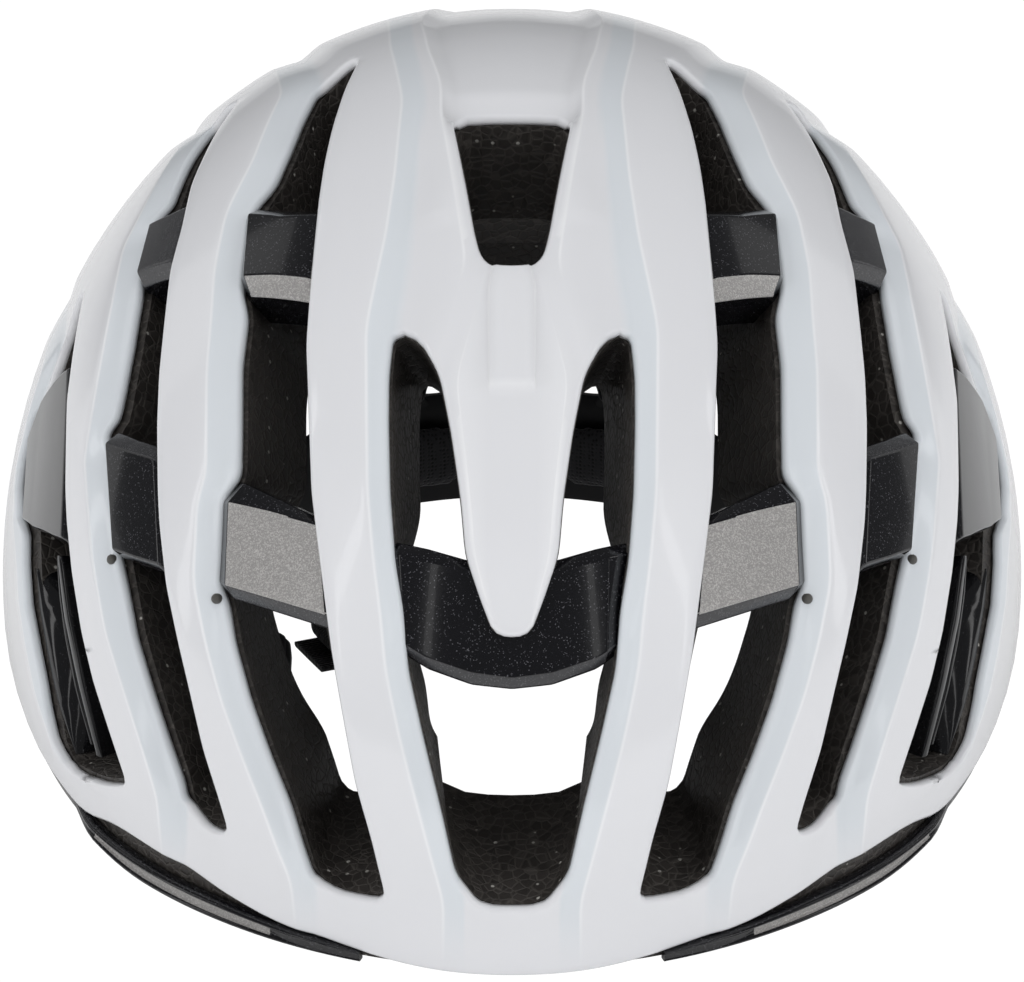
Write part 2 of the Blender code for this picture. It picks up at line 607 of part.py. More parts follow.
def divider(name, side, hub, part):
    """Cam-lock divider under the ear: body, and the lever that clamps the webbing."""
    body = [(-10, -12, 0.4), (10, -12, 0.4), (10, 12, 0.4), (-10, 12, 0.4)]
    top = [(-9, -11, 4.4), (9, -11, 4.4), (9, 11, 4.4), (-9, 11, 4.4)]
    rings = [[hub + np.array(p) for p in ring] for ring in (body, top)]
    solid(f"divider_{name}", rings, "nylon", part)
    hinge = hub + np.array([side * 7.0, 0, 6.2])
    lever = [[hub + np.array([side * x, y, z]) for x, z in ((8.0, 4.8), (8.0, 7.2), (-9.0, 6.4), (-9.0, 4.8))]
             for y in (-8.0, 8.0)]
    solid(f"divider_lever_{name}", lever, "nylon", part, centre=tuple(hinge))


def chin_strap(part):
    """Chin webbing with pad, keeper and side-release buckle, lying flat."""
    flat = fold_matrix().to_3x3() @ Vector((0, 1, 0))

    def run(name, s0, s1, z=1.4):
        steps = np.linspace(s0, s1, 4)
        ribbon(name, [(folded(s, 0, z), flat) for s in steps], "webbing", part)

    run("chin_strap_right", -46.5, -21.0)
    run("chin_strap_left", 14.2, 30.2)
    box("chin_pad", (-45, -13, 2.7), (-22, 13, 7.2), "padding", part, turn=1)
    keeper = box("strap_keeper", (24, -9.6, 0.25), (29, 9.6, 4.0), "nylon", part, turn=1)
    slot = box("cut_keeper_slot", (21, -8.2, 0.55), (32, 8.2, 2.6), None,
               bpy.data.collections["cutters"], turn=1)
    cut(keeper, [slot])
    socket = box("buckle_socket", (-20.5, -12, 0.3), (1.6, 12, 9.3), "nylon", part, turn=1, bevel=1.2)
    mouth = box("cut_buckle_mouth", (-16, -8.2, 2.2), (10, 8.2, 7.4), None,
                bpy.data.collections["cutters"], turn=1)
    cut(socket, [mouth])
    plug(part)


def plug(part):
    """Male half: crossbar outside the socket and a tongue inside it."""
    outline = ((13.6, -11.0), (13.6, 11.0), (2.4, 11.0), (2.4, 7.4), (-14.0, 6.2), (-14.0, -6.2),
               (2.4, -7.4), (2.4, -11.0))
    rings = [[folded(s, v, z) for s, v in outline] for z in (2.8, 6.8)]
    solid("buckle_plug", rings, "nylon", part, centre=tuple(folded(2.4, 0, 4.8)))


def anchors(part):
    """Moulded plugs that hold the side straps in the foam."""
    for side, name in ((-1, "right"), (1, "left")):
        button(f"anchor_front_{name}", side * 52.5, 15.0, (0.5, 3.2), (5.5, 4.6), part)
        button(f"anchor_rear_{name}", side * 130, REAR_ANCHOR_Z, (1.5, 3.8), (5.0, 4.2), part)


def pivot(name, at, pieces, part):
    """Empty on a joint's axis that carries the pieces turning or sliding there."""
    made = bpy.data.objects.new(name, None)
    made.location = Vector(at) * MM
    part.objects.link(made)
    for piece in pieces:
        moved = bpy.data.objects[piece]
        moved.parent = made
        moved.location = moved.location - made.location


def pivots(part):
    """One empty for the fit ring's hinge and one for the dial's axis."""
    ring = ["cradle", "dial_housing"]
    for side in ("left", "right"):
        ring += [f"fit_arm_{side}", f"temple_pin_{side}", f"cradle_pad_{side}", f"rack_{side}"]
    pivot("pivot_fit_ring", (0.0, HINGE_Y, PIN_Z), ring, part)
    pivot("pivot_dial", (0.0, DIAL_Y, DIAL_Z), ["dial_knob", "dial_pinion"], part)


def build():
    for old in list(bpy.data.objects):
        bpy.data.objects.remove(old)
    part = new_collection("cycling_helmet")
    tools = new_collection("cutters", hidden=True)
    vents = vent_tools(tools)
    outer_shell(part, tools, vents)
    lower_shell(part, tools)
    eps_liner(part, tools, vents)
    bridges(part)
    side_fins(part)
    pads(part)
    fit_system(part)
    webbing(part)
    anchors(part)
    pivots(part)
    for tool in tools.objects:
        tool.hide_render = True
        tool.display_type = "WIRE"


build()
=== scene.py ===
"""White road cycling helmet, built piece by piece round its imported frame.

Lengths inside the shape functions are millimetres and turn to metres as a mesh is made. The front
of the helmet faces -Y, the wearer's left is +X. A place on the dome is two angles in degrees:
a, sideways from the centre plane, and t, over the top from the front (0) to the rear (180).
"""

import bmesh
import bpy
import numpy as np
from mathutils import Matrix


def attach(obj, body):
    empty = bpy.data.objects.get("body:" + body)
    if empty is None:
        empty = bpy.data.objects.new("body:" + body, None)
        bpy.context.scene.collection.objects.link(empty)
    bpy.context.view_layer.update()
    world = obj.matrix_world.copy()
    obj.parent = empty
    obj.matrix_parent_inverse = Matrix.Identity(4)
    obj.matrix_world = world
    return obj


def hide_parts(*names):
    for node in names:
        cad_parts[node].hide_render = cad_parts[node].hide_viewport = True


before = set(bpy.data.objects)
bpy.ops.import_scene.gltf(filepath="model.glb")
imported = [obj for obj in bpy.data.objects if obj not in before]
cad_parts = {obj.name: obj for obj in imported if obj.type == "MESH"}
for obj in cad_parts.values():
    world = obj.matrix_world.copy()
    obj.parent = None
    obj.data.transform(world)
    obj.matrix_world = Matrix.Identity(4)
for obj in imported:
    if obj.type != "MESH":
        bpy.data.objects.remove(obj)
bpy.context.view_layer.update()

# ---------------------------------------------------------------------------
# The outer shell: a thin white polycarbonate skin, vacuum formed and moulded
# into the foam. Its ribs run front to back, and each vent has a rolled edge.

HALF = np.array([104.0, 135.0, 113.0])
EQUATOR = 26.5


def dome(a, t, off=0.0):
    """Ellipsoid: x is the half width times sin a, and the circle of radius cos a in the y-z plane
    carries t; off is added to all three half axes."""
    a, t = np.radians(a), np.radians(t)
    return np.stack([
        (HALF[0] + off) * np.sin(a), -(HALF[1] + off) * np.cos(a) * np.cos(t),
        EQUATOR + (HALF[2] + off) * np.cos(a) * np.sin(t)], -1)


def dome_angles(points):
    """The two angles whose ray meets the ellipsoid at these points."""
    q = (points - np.array([0, 0, EQUATOR])) / HALF
    q = q / np.linalg.norm(q, axis=-1, keepdims=True)
    return np.degrees(np.arcsin(np.clip(q[..., 0], -1, 1))), np.degrees(np.arctan2(q[..., 2], -q[..., 1]))


def dome_normal(points):
    """Gradient of the ellipsoid, made unit length."""
    n = (points - np.array([0, 0, EQUATOR])) / HALF ** 2
    return n / np.linalg.norm(n, axis=-1, keepdims=True)


def smooth(low, high, value):
    """Cubic step from 0 at low to 1 at high."""
    s = np.clip((value - low) / (high - low), 0.0, 1.0)
    return s * s * (3 - 2 * s)


def curve(points, t, soften=1.6):
    """Edge line: sideways angle against t, straight between its points and averaged over a few
    degrees."""
    at, a = np.array(points, float).T
    nearby = np.linspace(-1, 1, 9) * soften
    return np.mean([np.interp(t + d, at, a) for d in nearby], axis=0)


FLAT = np.array([1.72, 2.1])          # millimetres per degree, used to round outlines


def rounded(corners, radius, steps=5):
    """Closed outline whose corners are quadratic arcs: each corner is cut back by the radius, or by
    half of its shorter side, and the two cut points are joined by a parabola."""
    p = np.array(corners, float) * FLAT
    before, after = np.roll(p, 1, 0) - p, np.roll(p, -1, 0) - p
    lengths = np.minimum(np.linalg.norm(before, axis=1), np.linalg.norm(after, axis=1))
    cut = np.minimum(radius, 0.49 * lengths)[:, None]
    start = p + before / np.linalg.norm(before, axis=1, keepdims=True) * cut
    end = p + after / np.linalg.norm(after, axis=1, keepdims=True) * cut
    s = np.linspace(0, 1, steps)[None, :, None]
    arcs = start[:, None] * (1 - s) ** 2 + 2 * p[:, None] * s * (1 - s) + end[:, None] * s ** 2
    return arcs.reshape(-1, 2)


def outline(corners, radius=2.6, grow=0.0, spacing=0.25):
    """Evenly spaced points round a vent, moved outwards by grow, with their outward directions."""
    p = rounded(corners, radius)
    nxt = np.roll(p, -1, 0)
    if np.sum(p[:, 0] * nxt[:, 1] - nxt[:, 0] * p[:, 1]) < 0:
        p = p[::-1]
    closed = np.vstack([p, p[:1]])
    run = np.concatenate([[0], np.cumsum(np.linalg.norm(np.diff(closed, axis=0), axis=1))])
    s = np.arange(0, run[-1], spacing)
    p = np.stack([np.interp(s, run, closed[:, 0]), np.interp(s, run, closed[:, 1])], -1)
    along = np.roll(p, -3, 0) - np.roll(p, 3, 0)
    out = np.stack([along[:, 1], -along[:, 0]], -1)
    out /= np.linalg.norm(out, axis=1, keepdims=True)
    a = np.radians(p[:, :1] / FLAT[0])
    stretch = np.array([[1.0, 1.0]]) / np.hstack([np.cos(a) * 1.05, np.maximum(np.cos(a), 0.2)])
    return (p + out * grow * stretch) / FLAT, out / FLAT


def inside(loop, a, t):
    """Even-odd test of points against a closed loop."""
    x0, y0 = loop[::3].T
    x1, y1 = np.roll(x0, -1), np.roll(y0, -1)
    found = np.zeros(a.shape, bool)
    near = (a > x0.min()) & (a < x0.max()) & (t > y0.min()) & (t < y0.max())
    px, py = a[near][:, None], t[near][:, None]
    crosses = (y0 > py) != (y1 > py)
    with np.errstate(divide="ignore", invalid="ignore"):
        hit = crosses & (px < (x1 - x0) * (py - y0) / (y1 - y0) + x0)
    found[near] = hit.sum(1) % 2 == 1
    return found


def both_sides(corners):
    """The same outline on the other side of the centre plane."""
    return [(-a, t) for a, t in corners]


FRONT_OPENING = [(0, -5.7), (3.3, -5.6), (6.0, -2.5), (7.5, 3.8), (9.6, 11.8), (11.2, 18.4), (11.7, 24.1),
                 (12.6, 28.8), (13.2, 35.5), (13.4, 42.4), (13.4, 47.4), (13.0, 51.3), (11.9, 52.0),
                 (9.9, 50.6), (7.8, 47.0), (6.5, 41.1), (5.4, 34.4), (4.9, 29.3), (3.3, 25.1),
                 (2.1, 22.4), (1.2, 21.8), (0, 21.7)]
FRONT_OPENING += both_sides(FRONT_OPENING[-2:0:-1])
TOP_OPENING = [(0, 57.9), (2.2, 58.1), (3.4, 59.6), (4.0, 62.0), (6.5, 77.6), (5.8, 79.4), (0, 79.3)]
TOP_OPENING += both_sides(TOP_OPENING[-2:0:-1])
RIB_OPENING_1 = [(13.5, -5.9), (19.2, -6.6), (21.8, -5.9), (23.4, -2), (25.0, 2.6), (27.3, 7.6),
                 (29.7, 13.4), (31.7, 19.7), (32.6, 24.3), (33.4, 26.2), (32.9, 36.2), (31.1, 38.6),
                 (31.1, 44), (31.2, 51.8), (30.6, 58), (31.2, 61.5), (31.1, 65.1), (30.2, 73.4),
                 (27.5, 77), (26.0, 81), (24.4, 87.2), (22.4, 92.6), (17.3, 94.6), (18.9, 87.6),
                 (20.2, 80.4), (21.0, 74.6), (21.5, 69.3), (22.3, 57.1), (22.6, 51.6), (22.3, 46.2),
                 (21.8, 35.8), (19.5, 20.2), (18.1, 13.1), (16.8, 6.6), (15.1, 0.9)]
RIB_OPENING_2 = [(31.9, -2.9), (35.6, -3.8), (38.4, -2.2), (38.9, -0.1), (40.7, 4.5), (43.5, 11.5),
                 (46.1, 18.5), (47.8, 26), (48.8, 30), (51.0, 49.5), (49.6, 51.5), (48.8, 55.7),
                 (47.7, 62.2), (46.6, 71.5), (46.5, 73.5), (44.8, 86), (42.4, 88), (39.6, 95.1),
                 (36.3, 102.7), (32.5, 102.2), (35.8, 93.2), (38.4, 84.2), (39.4, 76), (40.8, 69.3),
                 (41.4, 60.6), (41.9, 53.5), (42.0, 46.7), (41.7, 37.9), (41.4, 33.7), (40.3, 25.9),
                 (38.7, 19.6), (36.9, 13.2), (35.2, 6.8), (33.1, 1)]
RIB_OPENING_3 = [(46.7, -3.3), (50.6, -6.3), (57.9, -11.1), (60.4, -9.4), (63.3, -2.6), (66, 7),
                 (68.7, 18), (69.7, 29.5), (70.2, 39), (72.2, 46.7), (72.8, 60), (72.6, 68.6),
                 (68.6, 77.8), (63.2, 76.0), (61.4, 79.4), (59.9, 86.5), (56.7, 87.1), (57.6, 78.5),
                 (58.4, 69.3), (59.1, 60.7), (58.7, 42.5), (58.2, 36.2), (56.9, 27.3), (54.8, 17.5),
                 (52.5, 10.2), (50.2, 4.9), (48, -0.2)]
REAR_OPENING_0 = [(-5.5, 171.2), (5.5, 171.2), (7.1, 166), (7.2, 150), (5.6, 124), (3, 117.4), (-3, 117.4),
                  (-5.6, 124), (-7.2, 150), (-7.1, 166)]
REAR_OPENING_1 = [(20.4, 166.5), (25.5, 165.3), (29.0, 157), (31.0, 140), (29.0, 119), (25.0, 112.4),
                  (22.4, 112.6), (20.6, 119), (19.2, 140), (19.0, 158)]
REAR_OPENING_2 = [(37.6, 160.8), (41.0, 159.7), (44.6, 152), (47.0, 138), (44.6, 124), (41.0, 118.4),
                  (38.4, 118.6), (37.0, 124), (36.4, 138), (36.2, 153)]
REAR_OPENING_3 = [(56.4, 150.3), (60.0, 148.3), (64.0, 141), (67.0, 128), (65.0, 110), (61.0, 104.4),
                  (58.4, 104.6), (56.6, 110), (55.2, 128), (55.0, 143)]
PAIRS = [RIB_OPENING_1, RIB_OPENING_2, RIB_OPENING_3, REAR_OPENING_1, REAR_OPENING_2, REAR_OPENING_3]
OPENINGS = [FRONT_OPENING, TOP_OPENING, REAR_OPENING_0] + PAIRS + [both_sides(p) for p in PAIRS]

# Rib edges and creases as (t, a): a vent's medial edge, its lateral edge, and the crease of the
# slanted facet beside it
LINES = [
    [(-26, 2.2), (-5, 2.4), (10, 2.8), (21.5, 2.2), (25.1, 3.3), (29.3, 4.9), (34.4, 5.4), (41.1, 6.5),
     (46, 7.3), (52, 5.2), (58.5, 3.3), (61.4, 3.9), (78, 6.5), (84, 6.3), (92, 7.6), (103, 8.6),
     (125, 5.8), (150, 7.2), (166, 7.1), (190, 7.1)],
    [(-26, 3.8), (-5, 4.0), (10, 4.6), (21.5, 3.8), (25.1, 4.9), (29.3, 6.1), (46, 8.6), (52, 6.6),
     (58.3, 4.9), (78.3, 7.7), (84, 7.8), (92, 9.3), (103, 10.3), (125, 7.6), (150, 9.0), (190, 9.0)],
    [(-26, 5.6), (-5, 5.4), (-2.5, 6.0), (3.8, 7.5), (11.8, 9.6), (18.4, 11.2), (24.1, 11.7),
     (28.8, 12.6), (35.5, 13.2), (47.4, 13.4), (52, 13.0), (60, 11.6), (70, 10.7), (82, 10.0), (95, 11.6),
     (110, 12.0), (190, 12)],
    [(-26, 7.4), (-5, 7.2), (-2.5, 7.9), (3.8, 9.6), (11.8, 11.8), (18.4, 13.3), (24.1, 13.9),
     (28.8, 14.6), (35.6, 15.3), (52.2, 15.6), (62.4, 13.6), (70, 12.7), (82, 12.0), (95, 13.6),
     (110, 14.2), (190, 14.2)],
    [(-26, 12.6), (-5.5, 13.4), (0.9, 15.1), (6.6, 16.8), (13.1, 18.1), (20.2, 19.5), (35.8, 21.8),
     (46.2, 22.3), (57.1, 22.3), (68, 21.5), (74.6, 21.0), (80.4, 20.2), (87.6, 18.9), (94, 17.6),
     (112.5, 22.0), (119, 20.6), (140, 19.2), (158, 19.0), (166, 20.4), (190, 21)],
    [(-26, 20.5), (-6, 21.8), (-2, 23.4), (2.6, 25.0), (7.6, 27.3), (13.4, 29.7), (19.7, 31.7),
     (26.4, 33.3), (35.9, 32.7), (39, 31.1), (51.8, 31.2), (58, 30.7), (65, 31.1), (73.2, 30.0),
     (80.4, 26.0), (87, 24.4), (93.3, 22.2), (112.5, 25.4), (119, 29.0), (140, 31.0), (157, 29.0),
     (165, 25.5), (190, 25.5)],
    [(-26, 22.4), (-6, 24.0), (-2, 25.8), (2.6, 27.6), (7.6, 29.9), (13.4, 32.4), (19.7, 34.4),
     (26.4, 36.0), (35.9, 35.6), (39, 34.4), (51.8, 34.6), (58, 34.2), (65, 34.0), (73.2, 32.8),
     (80.4, 29.6), (87, 28.0), (93.3, 26.4), (112.5, 28.4), (119, 31.2), (140, 33.0), (157, 31.2),
     (165, 28.5), (190, 28.5)],
    [(-26, 30.5), (-3, 31.8), (1, 33.1), (6.8, 35.2), (13.2, 36.9), (19.6, 38.7), (25.9, 40.3),
     (33.7, 41.4), (46.7, 42.0), (53.5, 41.9), (60.6, 41.4), (69.3, 40.8), (76, 39.4), (84.2, 38.4),
     (93.2, 35.8), (102, 33.2), (118.5, 38.0), (124, 37.0), (138, 36.4), (153, 36.2), (160.5, 37.6),
     (190, 38)],
    [(-26, 37), (-2.2, 38.5), (4.5, 40.7), (11.5, 43.5), (18.5, 46.1), (26, 47.8), (30, 48.8), (46, 50.7),
     (52, 49.4), (55.7, 48.8), (62.2, 47.7), (72, 46.6), (84, 45.0), (88, 42.4), (95, 39.6),
     (102.7, 36.4), (118.5, 41), (124, 44.6), (138, 47.0), (152, 44.6), (159.5, 41), (190, 41)],
    [(-26, 39.6), (-2.2, 41.4), (4.5, 43.8), (11.5, 46.6), (18.5, 49.4), (26, 51.2), (30, 52.0),
     (46, 53.8), (52, 52.8), (62.2, 51.2), (72, 49.8), (84, 48.4), (88, 46.2), (95, 43.6), (102.7, 40.6),
     (118.5, 44), (124, 47), (138, 49.4), (152, 47), (159.5, 44), (190, 44)],
    [(-26, 45), (-3.1, 46.7), (-0.2, 48), (4.9, 50.2), (10.2, 52.5), (17.5, 54.8), (27.3, 56.9),
     (36.2, 58.2), (42.5, 58.7), (60.7, 59.1), (69.3, 58.4), (78.5, 57.6), (86.8, 56.7), (104, 58.4),
     (110, 56.6), (128, 55.2), (143, 55), (150, 56.4), (190, 57)],
    [(-26, 56), (-11.1, 57.9), (-9, 60.1), (-2.6, 63.3), (7, 66), (18, 68.7), (29.5, 69.7), (39, 70.2),
     (46.7, 72.2), (60, 72.8), (68.6, 72.4), (78, 68), (86, 62), (104.5, 61), (110, 65), (128, 67),
     (141, 64), (148, 60.5), (190, 60.5)],
    [(-26, 60), (-11.1, 61), (-2.6, 66), (7, 69), (18, 71.6), (29.5, 72.6), (46.7, 75), (68.6, 75.2),
     (78, 71), (86, 66), (104.5, 65), (110, 68.4), (128, 70), (141, 67.4), (190, 64)],
]
# Which lines are creases, and each slanted facet as (vent edge, crease) with its fall in millimetres.
# The nose's bevel is a share of the first line; the plate's half width and the narrow cells on both
# sides of a crease are in degrees.
CREASES = (1, 3, 6, 9, 12)
FACETS = ((2, 3), (5, 6), (8, 9), (11, 12))
FALLS = (2.1, 3.1, 3.2, 1.7)
NOSE_BEVEL, PLATE_HALF = 0.8, 2.45
CREASE_CELL, BEVEL_CELL = 0.25, 0.14
# Grid cells from each column line to the next, outwards from the centre plane
CELLS = [2, 1, 1, 1, 1, 1, 1, 1, 1, 1, 4, 4, 1, 1, 6, 7, 4, 1, 1, 6, 7, 4, 1, 1, 6, 9, 3, 1, 1, 9]


def columns(t):
    """Sideways angles of the grid's columns at each t: they follow the ribs' edges and creases and
    crowd towards them by a half cosine."""
    spine = curve(LINES[0], t)
    nose, plate = NOSE_BEVEL * spine, np.minimum(PLATE_HALF, 0.58 * spine)
    edges = [np.zeros_like(t)]
    edges += [line + d for line in (plate, nose) for d in (-BEVEL_CELL, 0, BEVEL_CELL)]
    for k, line in enumerate(LINES):
        edge = curve(line, t)
        edges += [edge - CREASE_CELL, edge, edge + CREASE_CELL] if k in CREASES else [edge]
    edges.append(np.full_like(t, 90.0))
    parts = []
    for first, second, cells in zip(edges, edges[1:], CELLS):
        even = np.arange(cells) / cells
        crowded = 0.6 * (0.5 - 0.5 * np.cos(np.pi * even)) + 0.4 * even
        parts.append(first[:, None] + (second - first)[:, None] * crowded)
    half = np.hstack(parts + [edges[-1][:, None]])
    return np.hstack([-half[:, :0:-1], half])


def facet(a, t, edge, crease, depth, into):
    """Slant beside a vent: 0 at the crease, -depth at the vent's lateral edge, then a cubic step
    back to 0 across the vent's own strip, with the crease rounded off by a small hyperbola."""
    e, c, i = curve(LINES[edge], t), curve(LINES[crease], t), curve(LINES[into], t)
    u = (c - a) / np.maximum(c - e, 0.3)
    slope = 0.5 * (u + np.sqrt(u * u + 0.004))
    return -depth * np.where(a > e, np.minimum(slope, 1.05), 1.05 * smooth(i, e, a))


def relief(a, t):
    """How far the shell stands from the dome: the ribs' facets, the recess behind the top vent, the
    strip round that vent, the raised plate on the spine, and the small steps of the first ribs."""
    a = np.abs(a)
    ends = smooth(-16, 2, t) * (1 - 0.6 * smooth(84, 98, t)) * (1 - smooth(168, 182, t))
    slants = facet(a, t, 2, 3, FALLS[0] * smooth(-10, 8, t) * (1 - smooth(60, 86, t)), 1)
    slants = slants * (1 - 0.35 * smooth(50, 62, t))
    for (edge, crease), fall in zip(FACETS[1:], FALLS[1:]):
        slants = slants + facet(a, t, edge, crease, fall * ends, edge - 1)
    first, second = curve(LINES[0], t), curve(LINES[1], t)
    sunk = smooth(0, 1, (second - a) / np.maximum(second - first, 0.3))
    recess = smooth(56, 60, t) * (0.9 + 2.2 * smooth(74, 80, t)) - 1.3 * smooth(79.5, 83, t)
    recess = sunk * recess * (1 - 0.7 * smooth(112, 122, t))
    half = np.minimum(PLATE_HALF, 0.58 * first)
    plate = smooth(half + BEVEL_CELL, half - BEVEL_CELL, a) * smooth(45.0, 45.5, t) * smooth(58.5, 57.6, t)
    step = smooth(5.2, 6.6, a) * (1 - smooth(9.0, 10.2, a))
    step = step * smooth(63.3, 64.1, t) * (1 - smooth(64.1, 72, t))
    nose = smooth(NOSE_BEVEL * first, first, a) * smooth(14, 22, t) * (1 - smooth(44, 54, t))
    nose = nose * (1 - smooth(first + 0.3, curve(LINES[2], t) - 0.3, a))
    return slants - recess + 0.7 * plate + 0.6 * step - 0.9 * nose


def painted_shade_and_highlight_masks(points):
    """Two masks from 0 to 1 for points of the shell: the slanted facets, for painted shade, and the
    thin crease lines, for a painted highlight.
    """
    a, t = dome_angles(points)
    a = np.abs(a)
    slant, line = np.zeros_like(a), np.zeros_like(a)
    for edge, crease in FACETS:
        e, c = curve(LINES[edge], t), curve(LINES[crease], t)
        slant = np.maximum(slant, smooth(c + 0.1, c - 0.1, a) * smooth(e - 0.6, e - 0.3, a))
        line = np.maximum(line, np.exp(-((a - c) / 0.14) ** 2))
    spine = curve(LINES[0], t)
    nose, plate = NOSE_BEVEL * spine, np.minimum(PLATE_HALF, 0.58 * spine)
    front = smooth(14, 22, t) * (1 - smooth(44, 54, t))
    strip = curve(LINES[1], t)
    behind = smooth(56, 60, t) * (1 - smooth(108, 118, t))
    line = np.maximum(line, front * np.exp(-((a - nose) / 0.14) ** 2))
    line = np.maximum(line, behind * np.exp(-((a - strip) / 0.14) ** 2))
    raised = smooth(44.6, 45.2, t) * smooth(58.6, 57.8, t)
    line = np.maximum(line, 0.8 * raised * np.exp(-((a - plate) / 0.12) ** 2))
    line = np.maximum(line, 0.8 * smooth(plate + 0.2, plate, a) * np.exp(-((t - 45.2) / 0.4) ** 2))
    fade = smooth(-14, -4, t) * (1 - smooth(150, 170, t))
    return slant * fade, line * fade


WHITE_BEARING = (0, 6, 11, 16, 21, 26, 31, 37, 42, 48, 60, 75, 90, 105, 120, 150, 180)
WHITE_Z = (0.4, 0.8, 2.5, 4.5, 5.5, 8.5, 10.5, 11.5, 11.5, 8, 11, 18, 28, 36, 40, 42, 40)


def rim_loop(bearings, heights, spacing=0.4):
    """Rim line on the dome: at each bearing the horizontal reach that the ellipsoid has at the rim's
    height, given as angles with the direction down the surface."""
    b = np.linspace(-180, 180, int(760 / spacing), endpoint=False)
    z = np.mean([np.interp(np.abs((b + d + 180) % 360 - 180), bearings, heights)
                 for d in np.linspace(-2.5, 2.5, 9)], 0)
    s, c = np.sin(np.radians(b)), -np.cos(np.radians(b))
    flat = np.sqrt(1 - ((z - EQUATOR) / HALF[2]) ** 2)
    reach = flat / np.sqrt((s / HALF[0]) ** 2 + (c / HALF[1]) ** 2)
    p = np.stack([reach * s, reach * c, z], -1)
    n = dome_normal(p)
    along = np.roll(p, -2, 0) - np.roll(p, 2, 0)
    down = np.cross(along, n)
    down /= np.linalg.norm(down, axis=1, keepdims=True)
    down *= np.where(down[:, 2:] > 0, -1.0, 1.0)
    return p, down


def below_rim(a, t, bearings, heights):
    """Which places on the dome lie lower than the rim's height at their bearing."""
    p = dome(a, t)
    b = np.abs(np.degrees(np.arctan2(p[..., 0], -p[..., 1])))
    z = np.mean([np.interp(np.clip(b + d, 0, 180), bearings, heights)
                 for d in np.linspace(-2.5, 2.5, 9)], 0)
    return p[..., 2] < z


def holed_grid(a, t, loops, rim, wrap=False):
    """Grid of angles with every opening and the rim taken out. Where a grid edge crosses an outline
    its nearer end moves onto the outline. Returns angles, faces and, for the points on an outline,
    the direction into the opening."""
    rows, cols = a.shape
    a, t = a.ravel().copy(), t.ravel().copy()
    index = np.arange(rows * cols).reshape(rows, cols)
    right = np.roll(index, -1, 1) if wrap else index[:, 1:]
    left = index if wrap else index[:, :-1]
    edges = np.vstack([np.stack([left, right], -1).reshape(-1, 2),
                       np.stack([index[:-1], index[1:]], -1).reshape(-1, 2)])
    state = np.zeros(a.size, int)
    into = np.zeros((a.size, 3))
    start_a, start_t = a.copy(), t.copy()
    start = dome(start_a, start_t)
    jobs = []
    for points, outward in loops:
        place = dome(points[:, 0], points[:, 1])
        moved = dome(points[:, 0] + outward[:, 0] * 0.1, points[:, 1] + outward[:, 1] * 0.1)
        direction = place - moved
        direction /= np.linalg.norm(direction, axis=1, keepdims=True)
        jobs.append((inside(points, start_a, start_t), place, direction))
    if rim is not None:
        jobs.append((below_rim(start_a, start_t, *rim), *rim_loop(*rim)))
    for gone, place, direction in jobs:
        state[gone & (state == 0)] = 1
        crossing = edges[gone[edges[:, 0]] != gone[edges[:, 1]]]
        ends = np.unique(crossing)
        gap = np.full(a.size, np.inf)
        near = np.zeros(a.size, int)
        for block in np.array_split(ends, max(1, ends.size // 1500)):
            squared = (start[block] ** 2).sum(1)[:, None] + (place ** 2).sum(1)
            squared = squared - 2 * start[block] @ place.T
            near[block] = squared.argmin(1)
            gap[block] = squared.min(1)
        pick = np.where(gap[crossing[:, 0]] <= gap[crossing[:, 1]], crossing[:, 0], crossing[:, 1])
        pick = np.unique(pick)
        a[pick], t[pick] = dome_angles(place[near[pick]])
        into[pick] = direction[near[pick]]
        state[pick] = 2
    quads = np.stack([left[:-1], right[:-1], right[1:], left[1:]], -1).reshape(-1, 4)
    kinds = state[quads]
    whole = (kinds != 1).all(1) & ~(kinds == 2).all(1)
    faces = [quads[whole]]
    tris = []
    for corner in range(4):
        order = [(corner + k) % 4 for k in range(4)]
        k = kinds[:, order]
        cut = (k[:, 0] == 1) & (k[:, 1] == 2) & (k[:, 2] == 0) & (k[:, 3] == 2)
        tris.append(quads[cut][:, [order[1], order[2], order[3]]])
    tris = np.vstack(tris)
    full = kinds.min(1) == 2
    middle_a, middle_t = start_a[quads[full]].mean(1), start_t[quads[full]].mean(1)
    lost = np.zeros(full.sum(), bool)
    for points, _ in loops:
        lost |= inside(points, middle_a, middle_t)
    if rim is not None:
        lost |= below_rim(middle_a, middle_t, *rim)
    faces.append(quads[full][~lost])
    return a, t, np.vstack(faces), tris, into


def boundary(quads, tris):
    """Directed edges that only one face has."""
    directed = np.vstack([quads[:, [k, (k + 1) % 4]] for k in range(4)]
                         + [tris[:, [k, (k + 1) % 3]] for k in range(3)])
    top = int(directed.max()) + 1
    key = directed[:, 0] * top + directed[:, 1]
    back = directed[:, 1] * top + directed[:, 0]
    return directed[~np.isin(key, back)]


def closed_body(name, outer, inner, rings, quads, tris, edge):
    """Solid from an outer sheet, an inner sheet with the same faces turned round, and rings of
    points that join the two along the outer sheet's border."""
    count = len(outer)
    rim = np.unique(edge)
    number = np.full(count, -1)
    number[rim] = np.arange(len(rim))
    first, second = number[edge[:, 0]], number[edge[:, 1]]
    layers = [rim] + [2 * count + k * len(rim) + np.arange(len(rim)) for k in range(len(rings))]
    layers.append(count + rim)
    walls = [np.stack([upper[second], upper[first], lower[first], lower[second]], -1)
             for upper, lower in zip(layers, layers[1:])]
    sheets = [quads, tris, count + quads[:, ::-1], count + tris[:, ::-1]]
    return mesh_piece(name, np.vstack([outer, inner] + list(rings)), sheets + walls)


